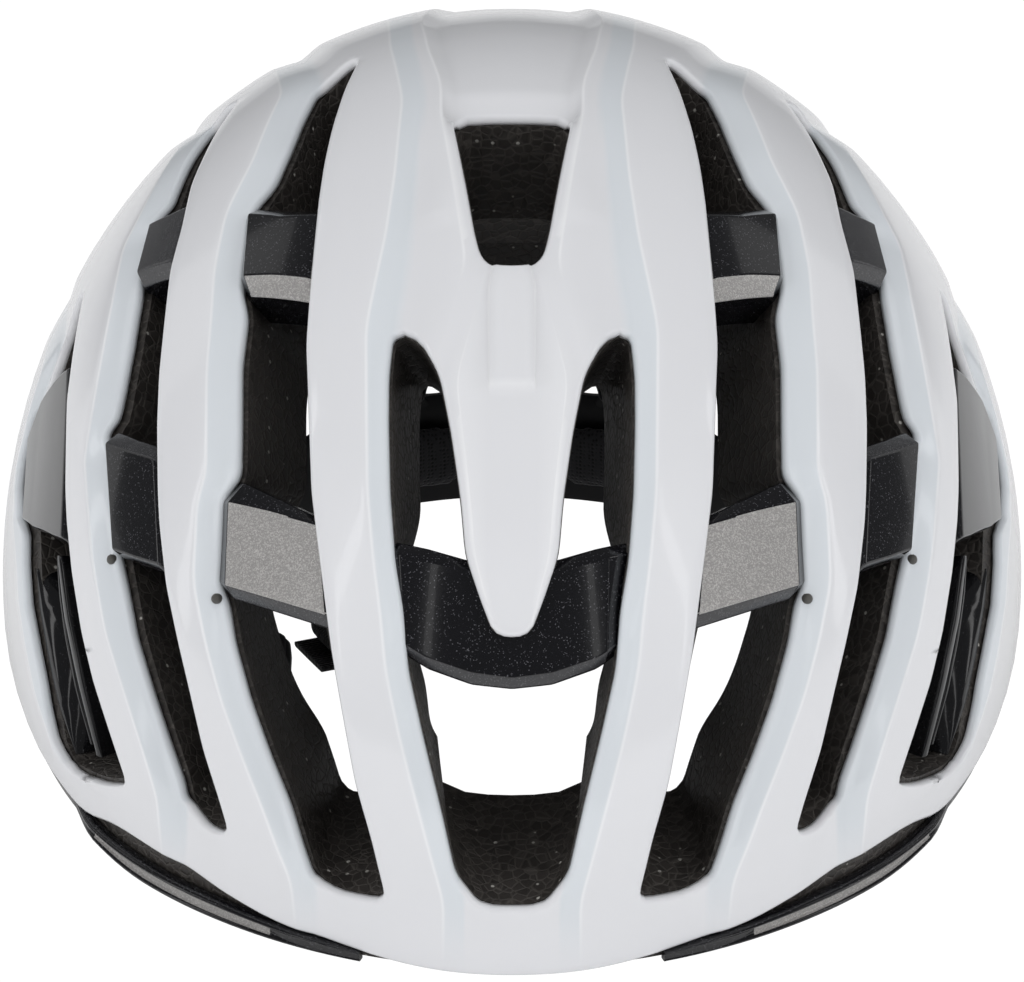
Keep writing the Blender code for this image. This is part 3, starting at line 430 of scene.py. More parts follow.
def mesh_piece(name, points, groups, split=None):
    """Object from points in millimetres and arrays of faces; unused points are dropped, and the
    faces are turned to point outwards."""
    groups = [np.asarray(g, int) for g in groups if len(g)]
    used = np.unique(np.concatenate([g.ravel() for g in groups]))
    place = np.full(len(points), -1)
    place[used] = np.arange(len(used))
    faces = [f for g in groups for f in place[g].tolist()]
    data = bpy.data.meshes.new(name)
    data.from_pydata((points[used] * 0.001).tolist(), [], faces)
    work = bmesh.new()
    work.from_mesh(data)
    bmesh.ops.remove_doubles(work, verts=work.verts[:], dist=1e-6)
    bmesh.ops.recalc_face_normals(work, faces=work.faces[:])
    work.to_mesh(data)
    work.free()
    data.shade_smooth()
    if split:
        data.set_sharp_from_angle(angle=np.radians(split))
    made = bpy.data.objects.new(name, data)
    bpy.context.scene.collection.objects.link(made)
    return made


# The grid's step in degrees; then the vent edges' rolling radius, the skin's depth where it meets the
# foam and how far its inner edge is tucked under, in millimetres
GRID_STEP, ROLL, SHELL_DEPTH, TUCK = 0.7, 1.15, 1.9, 0.7
grid_t = np.arange(-26.0, 188.01, GRID_STEP)
grid_a = columns(grid_t)
grid_t = np.repeat(grid_t[:, None], grid_a.shape[1], 1)
loops = [outline(corners, grow=ROLL) for corners in OPENINGS]
a, t, quads, tris, into = holed_grid(grid_a, grid_t, loops, (WHITE_BEARING, WHITE_Z))
edge = boundary(quads, tris)
border = np.unique(edge)
outer = dome(a, t, relief(a, t))
inner = dome(a, t, relief(a, t) - SHELL_DEPTH)
up = dome_normal(outer[border])
into = into[border]
into -= up * (into * up).sum(1, keepdims=True)
into /= np.maximum(np.linalg.norm(into, axis=1, keepdims=True), 1e-6)
rings = [outer[border] + into * ROLL * np.sin(q) - up * ROLL * (1 - np.cos(q))
         for q in np.radians([22.5, 45, 67.5, 90])]
inner[border] = rings[-1] - up * TUCK
shell = closed_body("shell_white", outer, inner, rings, quads, tris, edge)
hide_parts("outer_shell")
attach(shell, "helmet")


def new_material(name):
    """Material with its node tree and its Principled shader."""
    made = bpy.data.materials.new(name)
    made.use_nodes = True
    return made, made.node_tree, made.node_tree.nodes["Principled BSDF"]


def feed(tree, target, values):
    """Fill a node's inputs: a socket is linked, anything else becomes the input's own value."""
    for key, value in values.items():
        if isinstance(value, bpy.types.NodeSocket):
            tree.links.new(value, target.inputs[key])
        else:
            target.inputs[key].default_value = value


def add_node(tree, kind, values=None, **settings):
    """New shader node with its settings and its inputs."""
    made = tree.nodes.new("ShaderNode" + kind)
    for key, value in settings.items():
        setattr(made, key, value)
    feed(tree, made, values or {})
    return made


def ranged(tree, value, source=(0.0, 1.0), target=(0.0, 1.0)):
    """Value carried on a straight line from one span to another, held at both ends."""
    values = {"Value": value, "From Min": source[0], "From Max": source[1],
              "To Min": target[0], "To Max": target[1]}
    return add_node(tree, "MapRange", values).outputs["Result"]


def blended(tree, factor, first, second):
    """Colour between the first, at 0, and the second, at 1."""
    values = {"Factor": factor, "A": first, "B": second}
    return add_node(tree, "Mix", values, data_type="RGBA").outputs["Result"]


def bumped(tree, height, strength, distance):
    """Normal that a height tilts."""
    values = {"Height": height, "Strength": strength, "Distance": distance}
    return add_node(tree, "Bump", values).outputs["Normal"]


def new_group(name, inputs, outputs):
    """Shader group from (name, kind, value) inputs and (name, kind) outputs, with the sockets that
    its inside reads and fills."""
    group = bpy.data.node_groups.new(name, "ShaderNodeTree")
    for title, kind, value in inputs:
        made = group.interface.new_socket(title, in_out="INPUT", socket_type="NodeSocket" + kind)
        made.default_value = value
    for title, kind in outputs:
        group.interface.new_socket(title, in_out="OUTPUT", socket_type="NodeSocket" + kind)
    return group, group.nodes.new("NodeGroupInput").outputs, group.nodes.new("NodeGroupOutput")


def grain_group():
    """Fine grain shared by the moulded finishes: two noises on Object coordinates, put out as a mask
    from 0 to 1 and as a height."""
    group, given, end = new_group("fine_grain", (("Scale", "Float", 800.0), ("Broad", "Float", 40.0)),
                                  (("Mask", "Float"), ("Height", "Float")))
    place = add_node(group, "TexCoord").outputs["Object"]
    fine = add_node(group, "TexNoise", {"Vector": place, "Scale": given["Scale"], "Detail": 3.0})
    broad = add_node(group, "TexNoise", {"Vector": place, "Scale": given["Broad"], "Detail": 4.0})
    feed(group, end, {"Mask": broad.outputs["Fac"], "Height": fine.outputs["Fac"]})
    return group


GRAIN = grain_group()


def add_grain(tree, shader, scale, broad, strength, distance, rough):
    """Place the grain group: its mask sets the roughness between two values, its height the bump.
    Gives back the mask."""
    grain = add_node(tree, "Group", {}, node_tree=GRAIN)
    feed(tree, grain, {"Scale": scale, "Broad": broad})
    mask, height = grain.outputs["Mask"], grain.outputs["Height"]
    feed(tree, shader, {"Roughness": ranged(tree, mask, (0.3, 0.7), rough),
                        "Normal": bumped(tree, height, strength, distance)})
    return mask


def white_gloss():
    """Clear-coated white: faint cool mottling, a soft orange peel and a hard coat. The slanted facets
    get a painted cool shade and their creases a thin painted highlight line, by the mesh's own masks."""
    made, tree, shader = new_material("white_gloss")
    mask = add_grain(tree, shader, 260.0, 22.0, 0.03, 0.0004, (0.16, 0.26))
    colour = blended(tree, mask, (0.785, 0.79, 0.815, 1), (0.81, 0.815, 0.84, 1))
    # Painted light: the darker, cooler tone on the facets is painted shade, and the pale tone on the crease
    # lines is a painted highlight.
    for name, tone in (("slant", (0.72, 0.765, 0.805, 1)), ("line", (0.93, 0.935, 0.95, 1))):
        there = add_node(tree, "Attribute", attribute_name=name).outputs["Fac"]
        colour = blended(tree, there, colour, tone)
    feed(tree, shader, {"Base Color": colour, "Coat Weight": 0.7, "Coat Roughness": 0.04})
    return made


def read_mesh(items, key):
    """One vector for each vertex or face of a mesh."""
    found = np.zeros(len(items) * 3)
    items.foreach_get(key, found)
    return found.reshape(-1, 3)


# Painted shade and painted highlight: the facet and crease masks become vertex attributes that the white
# material reads.
masks = painted_shade_and_highlight_masks(read_mesh(shell.data.vertices, "co") * 1000)
for name, share, mask in zip(("slant", "line"), (0.8, 0.75), masks):
    shell.data.attributes.new(name, "FLOAT", "POINT").data.foreach_set("value", mask * share)
shell.data.materials.append(white_gloss())

# ---------------------------------------------------------------------------
# The liner: one block of expanded polystyrene beads, moulded inside the shell.
# The vents run through it, and its head cavity rises over a low brow sill.

CAVITY = np.array([78.0, 101.0, 86.0])
RIM_BEARING = (0, 40, 48, 60, 75, 90, 105, 120, 150, 180)
RIM_Z = (0, 0, 2.5, 5, 10, 18, 25, 29, 33, 34)
FOAM_OFF = -2.05


def spread(a, t):
    """Sideways angle at the cavity for each angle outside: the front vents' walls run nearly
    straight back, so their inner ends spread, by straight lines between the vents' edges."""
    e = [curve(LINES[k], t) for k in (2, 4, 5, 7)]
    wide = 1.27 + 0.24 * (1 - smooth(2.6, 13.8, t)) + 1.0 * (1 - smooth(-5.6, 2.6, t))
    goal = [e[0] * wide, e[1] * 1.42, e[2] * 1.15, e[3]]
    u, low, value, moved = np.abs(a), 0.0, 0.0, 0.0
    for knot, aim in zip(e + [90.0], goal + [90.0]):
        moved = moved + (aim - value) * np.clip((u - low) / (knot - low), 0, 1)
        low, value = knot, aim
    fade = smooth(-13, -8, t) * (1 - smooth(24, 36, t))
    return a + np.sign(a) * (moved - u) * fade


def cavity_point(a, t):
    """Inner end of the ray at these angles: on the cavity's ellipsoid above the equator, on its
    upright wall below. The front sill climbs towards the head, and the rear has a pocket for the dial."""
    a = spread(a, t)
    q = dome(a, t)
    q = (q - np.array([0, 0, EQUATOR])) / HALF
    q /= np.linalg.norm(q, axis=-1, keepdims=True)
    level = np.minimum(q[..., 2], 0.0)
    flat = np.maximum(np.sqrt(q[..., 0] ** 2 + q[..., 1] ** 2), 1e-9)
    wide = np.where(q[..., 2] < 0, 1.0 / flat, 1.0)
    x, y = CAVITY[0] * q[..., 0] * wide, CAVITY[1] * q[..., 1] * wide
    z = EQUATOR + np.where(q[..., 2] < 0, HALF[2] * level, CAVITY[2] * q[..., 2])
    z = z + (8.0 - 2.5 * smooth(12, 24, np.abs(a))) * smooth(-13, -6, t) * (1 - smooth(-4, 12, t)) * (y < 0)
    low = 1 - smooth(42, 50, z)
    pocket = 112.0 * (1 - smooth(41, 47, np.abs(x))) + 7.0 * (1 - smooth(15, 21, np.abs(x)))
    y = np.where((y > 50) & (pocket > y), y + (pocket - y) * low, y)
    return np.stack([x, y, z], -1)


bearing = np.arange(-180, 180, 1.0)
p, _ = rim_loop(RIM_BEARING, RIM_Z)
at = np.degrees(np.arctan2(p[:, 0], -p[:, 1]))
order = np.argsort(at)
lowest = np.interp(bearing, at[order], p[order, 2], period=360)
climb = np.linspace(0, 1, 112)[:, None] ** 1.08
low_angle = np.degrees(np.arcsin((lowest - EQUATOR) / HALF[2]))
rise = np.radians(low_angle + (88.5 - low_angle) * climb)
turn = np.arctan2(np.sin(np.radians(bearing)) / HALF[0], np.cos(np.radians(bearing)) / HALF[1])
grid = np.stack([HALF[0] * np.cos(rise) * np.sin(turn), -HALF[1] * np.cos(rise) * np.cos(turn),
                 EQUATOR + HALF[2] * np.sin(rise)], -1)
foam_a, foam_t = dome_angles(grid)
foam_t = np.where(foam_t < -100, foam_t + 360, foam_t)
# The rear centre vent stops higher in the foam, above the dial
foam_openings = [[(a, min(t, 156.0)) for a, t in p] if p is REAR_OPENING_0 else p for p in OPENINGS]
loops = [outline(corners, grow=-0.25) for corners in foam_openings]
a, t, quads, tris, _ = holed_grid(foam_a, foam_t, loops, None, wrap=True)
crown = np.arange(len(bearing)) + (len(climb) - 1) * len(bearing)
edge = boundary(quads, tris)
edge = edge[~np.isin(edge, crown).any(1)]
border = np.unique(edge)
outer = dome(a, t, relief(a, t) + FOAM_OFF)
inner = cavity_point(a, t)
span = inner[border] - outer[border]
rings = [outer[border] + span * part for part in (0.03, 0.08, 0.2, 0.4, 0.6, 0.8, 0.92, 0.985)]
foam = closed_body("liner_foam", outer, inner, rings, quads, tris, edge)
work = bmesh.new()
work.from_mesh(foam.data)
bmesh.ops.holes_fill(work, edges=[e for e in work.edges if e.is_boundary], sides=0)
bmesh.ops.triangulate(work, faces=[f for f in work.faces if len(f.verts) > 4])
bmesh.ops.recalc_face_normals(work, faces=work.faces[:])
work.to_mesh(foam.data)
work.free()
foam.data.shade_smooth()
foam.data.set_sharp_from_angle(angle=np.radians(50))
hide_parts("eps_liner")
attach(foam, "helmet")


def bead_foam():
    """Moulded bead foam: flattened beads 2-3 mm across with darker seams, a soft sheen, and the
    small pale pits that the steam vents leave."""
    made, tree, shader = new_material("bead_foam")
    place = add_node(tree, "TexCoord").outputs["Object"]
    beads = add_node(tree, "TexVoronoi", {"Vector": place, "Scale": 500.0}, feature="DISTANCE_TO_EDGE")
    tone = add_node(tree, "TexVoronoi", {"Vector": place, "Scale": 500.0})
    pits = add_node(tree, "TexVoronoi", {"Vector": place, "Scale": 250.0, "Randomness": 0.3})
    seam = ranged(tree, beads.outputs["Distance"], (0.0, 0.14))
    colour = blended(tree, seam, (0.066, 0.060, 0.054, 1), (0.036, 0.032, 0.0295, 1))
    red = add_node(tree, "SeparateColor", {"Color": tone.outputs["Color"]}).outputs["Red"]
    value = ranged(tree, red, (0, 1), (0.8, 1.25))
    vary = add_node(tree, "HueSaturation", {"Value": value, "Color": colour})
    speck = ranged(tree, pits.outputs["Distance"], (0.11, 0.07))
    feed(tree, shader, {"Base Color": blended(tree, speck, vary.outputs["Color"], (0.42, 0.41, 0.38, 1)),
                        "Normal": bumped(tree, seam, 0.5, 0.0003),
                        "Roughness": ranged(tree, seam, (0, 1), (0.62, 0.42))})
    return made


FOAM = bead_foam()
foam.data.materials.append(FOAM)

# ---------------------------------------------------------------------------
# The bridges: faceted bars moulded in glossy black nylon with a fine metal
# flake. Each spans a vent between two ribs and is held in the foam.


def profile_arc(points, radius, steps=4):
    """Open profile in millimetres with each inner corner replaced by a parabola."""
    p = np.asarray(points, float)
    before, after = p[..., :-2, :] - p[..., 1:-1, :], p[..., 2:, :] - p[..., 1:-1, :]
    lb = np.linalg.norm(before, axis=-1, keepdims=True)
    la = np.linalg.norm(after, axis=-1, keepdims=True)
    cut = np.minimum(radius, 0.45 * np.minimum(lb, la))
    start, end = p[..., 1:-1, :] + before / lb * cut, p[..., 1:-1, :] + after / la * cut
    s = np.linspace(0, 1, steps)[:, None]
    mid = p[..., 1:-1, None, :]
    arcs = start[..., None, :] * (1 - s) ** 2 + 2 * mid * s * (1 - s) + end[..., None, :] * s ** 2
    arcs = arcs.reshape(*p.shape[:-2], -1, p.shape[-1])
    return np.concatenate([p[..., :1, :], arcs, p[..., -1:, :]], axis=-2)


def loft(name, rings, split=None, caps=True):
    """Body through rings of equal length: quads between neighbours, a fan on a middle point at
    each end."""
    rings = np.asarray(rings, float)
    count, size = rings.shape[:2]
    index = np.arange(count * size).reshape(count, size)
    nxt = np.roll(index, -1, 1)
    walls = np.stack([index[:-1], nxt[:-1], nxt[1:], index[1:]], -1).reshape(-1, 4)
    points = rings.reshape(-1, 3)
    groups = [walls]
    if caps:
        points = np.vstack([points, rings[0].mean(0), rings[-1].mean(0)])
        low = np.full(size, count * size)
        groups.append(np.stack([low, nxt[0], index[0]], -1))
        groups.append(np.stack([low + 1, index[-1], nxt[-1]], -1))
    return mesh_piece(name, points, groups, split)


# Share of a bar's length that its outer end bevel takes
END_BEVEL = 0.12


def bar(name, stations, face, depth=12.0, bevel=2.2, edge=0.5, length=28):
    """Faceted bar: each station has four pairs of angles (lower bevel edge, face bottom, face top,
    upper bevel edge). They run on straight lines between stations, the bevels drop from the face by
    their depth, and every crease is rounded. The ends sink under the ribs."""
    s = np.linspace(0, 1, length)
    s = np.sort(np.concatenate([s, [0.02, 0.87, 0.875, 0.885, 0.98]]))
    place = np.linspace(0, 1, len(stations))
    st = np.array(stations, float)
    lines = np.stack([[np.interp(s, place, st[:, k, c]) for c in (0, 1)] for k in range(4)])
    dip = 1.3 * (1 - np.minimum(1.0, s / 0.045)) + 2.4 * (1 - np.minimum(1.0, (1 - s) / END_BEVEL))
    offs = [face - bevel, face, face, face - bevel]
    top = [dome(lines[k, 0], lines[k, 1], offs[k] - dip) for k in range(4)]
    low = [dome(lines[k, 0], lines[k, 1], face - depth) for k in (0, 3)]
    profile = np.stack([low[0], *top, low[1]], 1)
    return loft(name, profile_arc(profile, edge, 5), split=60)


def flip(stations):
    """The same stations on the other side."""
    return [both_sides(row) for row in stations]


BRIDGES = {
    "front": ([[(18.9, 21.7), (19.0, 23.2), (20.0, 32.2), (20.1, 32.8)],
               [(26.2, 23.4), (26.4, 24.9), (26.6, 34.1), (26.2, 35.6)],
               [(33.2, 25.0), (33.9, 26.6), (33.4, 35.9), (31.9, 38.4)]], -0.8),
    "upper": ([[(21.9, 57.0), (21.8, 59.4), (21.1, 67.4), (21.0, 68.8)],
               [(26.6, 59.0), (26.6, 61.4), (26.1, 69.2), (25.8, 71.0)],
               [(31.2, 61.0), (31.6, 63.2), (31.3, 72.6), (30.5, 74.0)]], -0.8),
    "mid": ([[(40.2, 27.0), (40.6, 28.4), (41.7, 42.0), (41.6, 43.8)],
             [(44.6, 28.4), (45.2, 29.6), (46.6, 44.8), (46.2, 46.6)],
             [(49.0, 29.8), (49.9, 31.2), (51.6, 48.2), (50.6, 50.0)]], -0.8),
    "high": ([[(40.4, 69.6), (40.1, 71.2), (38.3, 80.2), (38.0, 81.8)],
              [(43.8, 71.6), (43.6, 73.4), (41.6, 82.0), (41.2, 83.8)],
              [(46.9, 73.4), (46.9, 75.4), (45.5, 85.0), (44.6, 86.4)]], -0.8),
    "side": ([[(57.7, 32.2), (57.9, 33.4), (58.0, 68.4), (58.0, 69.8)],
              [(61.2, 33.6), (61.4, 35.2), (60.8, 70.6), (60.7, 72.0)],
              [(66.4, 37.0), (67.2, 39.0), (65.6, 72.6), (65.2, 74.2)],
              [(70.4, 40.4), (72.6, 45.4), (72.6, 67.0), (69.2, 77.4)]], -0.3),
}
CENTRE = [[(-12.4, 20.0), (-12.6, 21.3), (-13.6, 29.9), (-13.8, 31.0)],
          [(-9.1, 18.3), (-9.3, 19.6), (-9.2, 28.9), (-9.2, 30.1)],
          [(-4.4, 16.9), (-4.4, 18.2), (-4.9, 27.9), (-4.9, 29.0)],
          [(0, 16.5), (0, 17.7), (0, 27.4), (0, 28.6)],
          [(4.4, 16.9), (4.4, 18.2), (4.9, 27.9), (4.9, 29.0)],
          [(9.1, 18.3), (9.3, 19.6), (9.2, 28.9), (9.2, 30.1)],
          [(12.4, 20.0), (12.6, 21.3), (13.6, 29.9), (13.8, 31.0)]]
bars = {"bridge_centre": bar("bar_centre", CENTRE, -2.4, depth=11, bevel=1.8, length=60)}
for kind, (stations, face) in BRIDGES.items():
    bars[f"bridge_{kind}_left"] = bar(f"bar_{kind}_left", stations, face)
    bars[f"bridge_{kind}_right"] = bar(f"bar_{kind}_right", flip(stations), face)
for node, piece in bars.items():
    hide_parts(node)
    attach(piece, "helmet")


def flake_group():
    """Metal flake in a lacquer: small cells of random tone on Object coordinates; the brightest
    become flakes. Puts out the colour and a mask."""
    inputs = (("Base", "Color", (0.01, 0.01, 0.012, 1)), ("Flake", "Color", (0.5, 0.5, 0.52, 1)),
              ("Scale", "Float", 5000.0), ("Share", "Float", 0.9))
    group, given, end = new_group("metal_flake", inputs, (("Color", "Color"), ("Mask", "Float")))
    place = add_node(group, "TexCoord").outputs["Object"]
    cells = add_node(group, "TexVoronoi", {"Vector": place, "Scale": given["Scale"]})
    tone = add_node(group, "SeparateColor", {"Color": cells.outputs["Color"]}).outputs["Red"]
    above = ranged(group, tone, (given["Share"], 1.0))
    feed(group, end, {"Color": blended(group, above, given["Base"], given["Flake"]), "Mask": above})
    return group


FLAKE = flake_group()


def lacquer(name, base, flake, share, metallic, rough):
    """Flaked lacquer under a hard clear coat."""
    made, tree, shader = new_material(name)
    add_grain(tree, shader, 320.0, 30.0, 0.02, 0.0003, rough)
    cells = add_node(tree, "Group", {}, node_tree=FLAKE)
    feed(tree, cells, {"Base": base, "Flake": flake, "Share": share})
    feed(tree, shader, {"Base Color": cells.outputs["Color"], "Metallic": metallic,
                        "Coat Weight": 0.3, "Coat Roughness": 0.03})
    return made


# Graphite and smoke are painted reflection: silver and dark grey standing in for light that glossy black
# facets reflect.
GLOSS_BLACK = lacquer("gloss_black_flake", (0.0045, 0.0045, 0.006, 1), (0.10, 0.10, 0.11, 1), 0.94,
                      0.0, (0.10, 0.16))
PAINTED_SILVER_REFLECTION = lacquer("flake_painted_silver_reflection", (0.33, 0.32, 0.312, 1), (0.56, 0.545, 0.53, 1), 0.45,
                   0.25, (0.34, 0.46))
PAINTED_GREY_REFLECTION = lacquer("flake_painted_grey_reflection", (0.035, 0.035, 0.038, 1), (0.10, 0.10, 0.105, 1), 0.85,
                0.1, (0.2, 0.3))
PLAIN_BLACK = lacquer("gloss_black_plain", (0.005, 0.005, 0.006, 1), (0.03, 0.03, 0.033, 1), 0.97,
                      0.0, (0.08, 0.14))


def side_gradient():
    """Smooth grey lacquer of the side bars, a painted reflection: dark next to the rib, paler towards
    the outside, by the distance from the centre plane in metres."""
    made, tree, shader = new_material("side_gradient")
    add_grain(tree, shader, 320.0, 30.0, 0.02, 0.0003, (0.2, 0.28))
    place = add_node(tree, "SeparateXYZ", {"Vector": add_node(tree, "TexCoord").outputs["Object"]})
    out = add_node(tree, "Math", {0: place.outputs["X"]}, operation="ABSOLUTE").outputs["Value"]
    colour = blended(tree, ranged(tree, out, (0.086, 0.1)), (0.012, 0.012, 0.013, 1),
                     (0.055, 0.055, 0.058, 1))
    feed(tree, shader, {"Base Color": colour, "Coat Weight": 0.6, "Coat Roughness": 0.03})
    return made


# Deepest that a bar's painted face lies under the dome, in millimetres
FACE_DEPTH = 3.4


def finish_or_painted_reflection(piece, node):
    """Which finish each face of a bar takes: 0 black, 1 graphite, 2 smoke or the side gradient; 1 and 2 are
    painted reflection.
    """
    normal, centre = read_mesh(piece.data.polygons, "normal"), read_mesh(piece.data.polygons, "center")
    centre = centre * 1000
    ca, ct = dome_angles(centre)
    ca = np.abs(ca)
    outwards = (normal * dome_normal(centre)).sum(1)
    shallow = np.linalg.norm(centre - dome(ca * np.sign(centre[:, 0]), ct), axis=1) < FACE_DEPTH
    face = (outwards > 0.97) & shallow
    slant = (outwards < 0.93) & (outwards > 0.2) & shallow
    if "front" in node:
        return np.where(face & (ca > 19.6) & (ca < 32.3), 1, np.where(slant & (ct < 29), 2, 0))
    if "upper" in node:
        return np.where(slant & (ct < 65) & (ca < 30.2), 1, 0)
    if "mid" in node:
        return np.where(slant & (ct > 38), 2, 0)
    if "centre" in node:
        return np.where(slant & (ct < 22), 2, 0)
    return np.where(face | (slant & (ct > 55)), 2, 0)


PAINTED_REFLECTION_GRADIENT = side_gradient()
# Painted reflection: the faces that would mirror the lamps take graphite, smoke or the side gradient in
# place of black.
for node, piece in bars.items():
    for material in (GLOSS_BLACK, PAINTED_SILVER_REFLECTION, PAINTED_REFLECTION_GRADIENT if "side" in node else PAINTED_GREY_REFLECTION):
        piece.data.materials.append(material)
    piece.data.polygons.foreach_set("material_index", finish_or_painted_reflection(piece, node).astype(np.int32))

# ---------------------------------------------------------------------------
# The lower wrap: a glossy black band round the liner's lower edge, from temple
# to temple round the back, with a rolled lip along both sides of its face.

BAND_BEARING = (0, 11, 16, 21, 26, 42, 48, 60, 75, 90, 105, 120, 150, 180)
BAND_TOP = (2.1, 2.1, 3.6, 4.6, 5.5, 6, 6.5, 10.6, 17.6, 27.6, 35.6, 39.6, 41.6, 39.6)


def on_dome(bearing, z, off):
    """Point of the dome at a bearing and a height: the ellipse's reach there, stretched by off."""
    s, c = np.sin(np.radians(bearing)), -np.cos(np.radians(bearing))
    flat = np.sqrt(np.maximum(1 - ((z - EQUATOR) / (HALF[2] + off)) ** 2, 0))
    reach = flat / np.sqrt((s / (HALF[0] + off)) ** 2 + (c / (HALF[1] + off)) ** 2)
    return np.stack([reach * s, reach * c, z + 0 * reach], -1)


def averaged(bearing, knots, values, width=3.0):
    """Height at a bearing, the same on both sides, averaged over a few degrees."""
    away = np.abs((bearing + 180) % 360 - 180)
    return np.mean([np.interp(np.clip(np.abs(away + d), 0, 180), knots, values)
                    for d in np.linspace(-width, width, 9)], 0)


def bump(centre, width, value):
    """Bell curve: e to the minus squared distance from the centre, counted in widths."""
    return np.exp(-((value - centre) / width) ** 2)


bearing = np.linspace(13, 347, 230)[:, None]
away = np.minimum(bearing, 360 - bearing)
low = averaged(bearing, RIM_BEARING, RIM_Z) + 0.1
high = np.maximum(averaged(bearing, BAND_BEARING, BAND_TOP) - 0.1, low + 1.2)
v = np.linspace(0, 1, 25)[None, :]
groove = smooth(19, 23, away) * (1 - smooth(44, 50, away))
off = 0.35 - 1.9 * (2 * v - 1) ** 8 + 0.35 * bump(0.16, 0.09, v) + 0.45 * bump(0.82, 0.08, v)
off = off - 2.4 * smooth(46, 54, away) * (1 - smooth(96, 112, away))
off = off - groove * 0.9 * smooth(0.25, 0.36, v) * (1 - smooth(0.62, 0.73, v))
face = on_dome(bearing, low + (high - low) * v, off)
back = on_dome(bearing, low + (high - low) * np.array([[0.96, 0.5, 0.04]]), -1.75)
band = loft("lower_wrap", np.concatenate([face, back], 1), split=70)
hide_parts("lower_shell")
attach(band, "helmet")
band.data.materials.append(GLOSS_BLACK)
band.data.materials.append(PAINTED_SILVER_REFLECTION)
# The pale strip, a painted highlight: the faces inside the groove, picked by bearing, height and
# distance from the dome
centre = read_mesh(band.data.polygons, "center") * 1000
away = np.abs(np.degrees(np.arctan2(centre[:, 0], -centre[:, 1])))
low, high = averaged(away, RIM_BEARING, RIM_Z), averaged(away, BAND_BEARING, BAND_TOP)
height = (centre[:, 2] - low) / np.maximum(high - low, 1)
proud = np.linalg.norm(centre[:, :2], axis=1)
proud = proud - np.linalg.norm(on_dome(away, centre[:, 2], 0)[:, :2], axis=1)
strip = (height > 0.3) & (height < 0.72) & (away > 22) & (away < 46) & (proud > -1.3)
band.data.polygons.foreach_set("material_index", strip.astype(np.int32))

# ---------------------------------------------------------------------------
# The side vanes: two thin glossy blades that stand in each lower side opening,
# and the dished lip that rounds off the opening's outer corner.


def blade(name, line, top, bottom, width):
    """Blade along a line of angles: its section is a tall capsule of the given width in degrees,
    from the offset top down to the offset bottom, with a half-round upper edge."""
    t = np.linspace(line[0][1], line[-1][1], 40)
    a = curve([(tt, aa) for aa, tt in line], t, 0.8)
    taper = 0.35 + 0.65 * np.sin(np.pi * np.linspace(0.06, 0.94, 40)) ** 0.5
    q = np.linspace(np.pi, 0, 9)
    rim = [dome(a + width * 0.5 * np.cos(p) * taper, t, top + 0.75 * np.sin(p)) for p in q]
    feet = [dome(a + width * 0.5 * side * taper, t, bottom) for side in (1, -1)]
    return loft(name, np.stack(rim + feet, 1), split=70)


def lip(name, line, width):
    """Dished lip: a strip that starts under the shell's edge and falls inwards on a quarter curve."""
    t = np.linspace(line[0][1], line[-1][1], 36)
    a = curve([(tt, aa) for aa, tt in line], t, 0.8)
    grow = np.sin(np.pi * np.linspace(0.02, 0.98, 36)) ** 0.7
    q = np.linspace(0, 1, 10)
    over = [dome(a - width * grow * s, t, -3.2 - 5.0 * s ** 2) for s in q]
    under = [dome(a - width * grow * s, t, -4.4 - 5.0 * s ** 2) for s in q[::-1]]
    return loft(name, np.stack(over + under, 1), split=70)


VANE_LINE = [(54.4, -5.8), (58.2, 6.0), (61.6, 18.0), (63.8, 31.0)]
OUTER_LINE = [(57.8, -7.6), (61.6, 2.0), (64.4, 12.0), (66.2, 22.0), (67.0, 31.0)]
LIP_LINE = [(58.6, -10.2), (62.9, -3.0), (66.2, 7.0), (68.9, 18.0), (70.0, 28.0)]
for side, sign in (("left", 1), ("right", -1)):
    mirror = [[(sign * aa, tt) for aa, tt in line] for line in (VANE_LINE, OUTER_LINE, LIP_LINE)]
    vane = blade(f"vane_inner_{side}", mirror[0], -4.6, -20.5, 2.0)
    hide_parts(f"side_fin_{side}")
    second = blade(f"vane_outer_{side}", mirror[1], -6.5, -16.0, 1.3)
    dish = lip(f"vane_lip_{side}", mirror[2], sign * 3.6)
    for piece in (vane, second, dish):
        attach(piece, "helmet")
        piece.data.materials.append(PLAIN_BLACK)


def turned(name, at, axis, stations, sides=32, flutes=0, depth=0.0, split=45):
    """Turned part: rings of (distance along the axis, radius), each radius pulled in by a cosine
    of the angle where there are flutes, by the share that a station gives as its third number."""
    axis = np.array(axis, float) / np.linalg.norm(axis)
    across = np.cross(axis, [0, 0, 1.0] if abs(axis[2]) < 0.9 else [1.0, 0, 0])
    across /= np.linalg.norm(across)
    other = np.cross(axis, across)
    q = np.linspace(0, 2 * np.pi, sides, endpoint=False)
    rings = []
    for along, radius, *part in stations:
        r = radius - depth * (part[0] if part else 0.0) * (0.5 + 0.5 * np.cos(flutes * q)) ** 1.5
        circle = across * (r * np.cos(q))[:, None] + other * (r * np.sin(q))[:, None]
        rings.append(np.array(at) + axis * along + circle)
    return loft(name, rings, split=split)


def satin_nylon(name, tone, rough, strength=0.35):
    """Spark-eroded nylon: fine even grain, slightly rubbed patches."""
    made, tree, shader = new_material(name)
    mask = add_grain(tree, shader, 2400.0, 60.0, strength, 0.0001, rough)
    rubbed = tuple(c * 1.7 for c in tone[:3]) + (1,)
    feed(tree, shader, {"Base Color": blended(tree, mask, tone, rubbed)})
    return made


NYLON = satin_nylon("satin_nylon", (0.012, 0.012, 0.014, 1), (0.42, 0.58))
NUB = satin_nylon("nub_nylon", (0.06, 0.058, 0.053, 1), (0.3, 0.45))

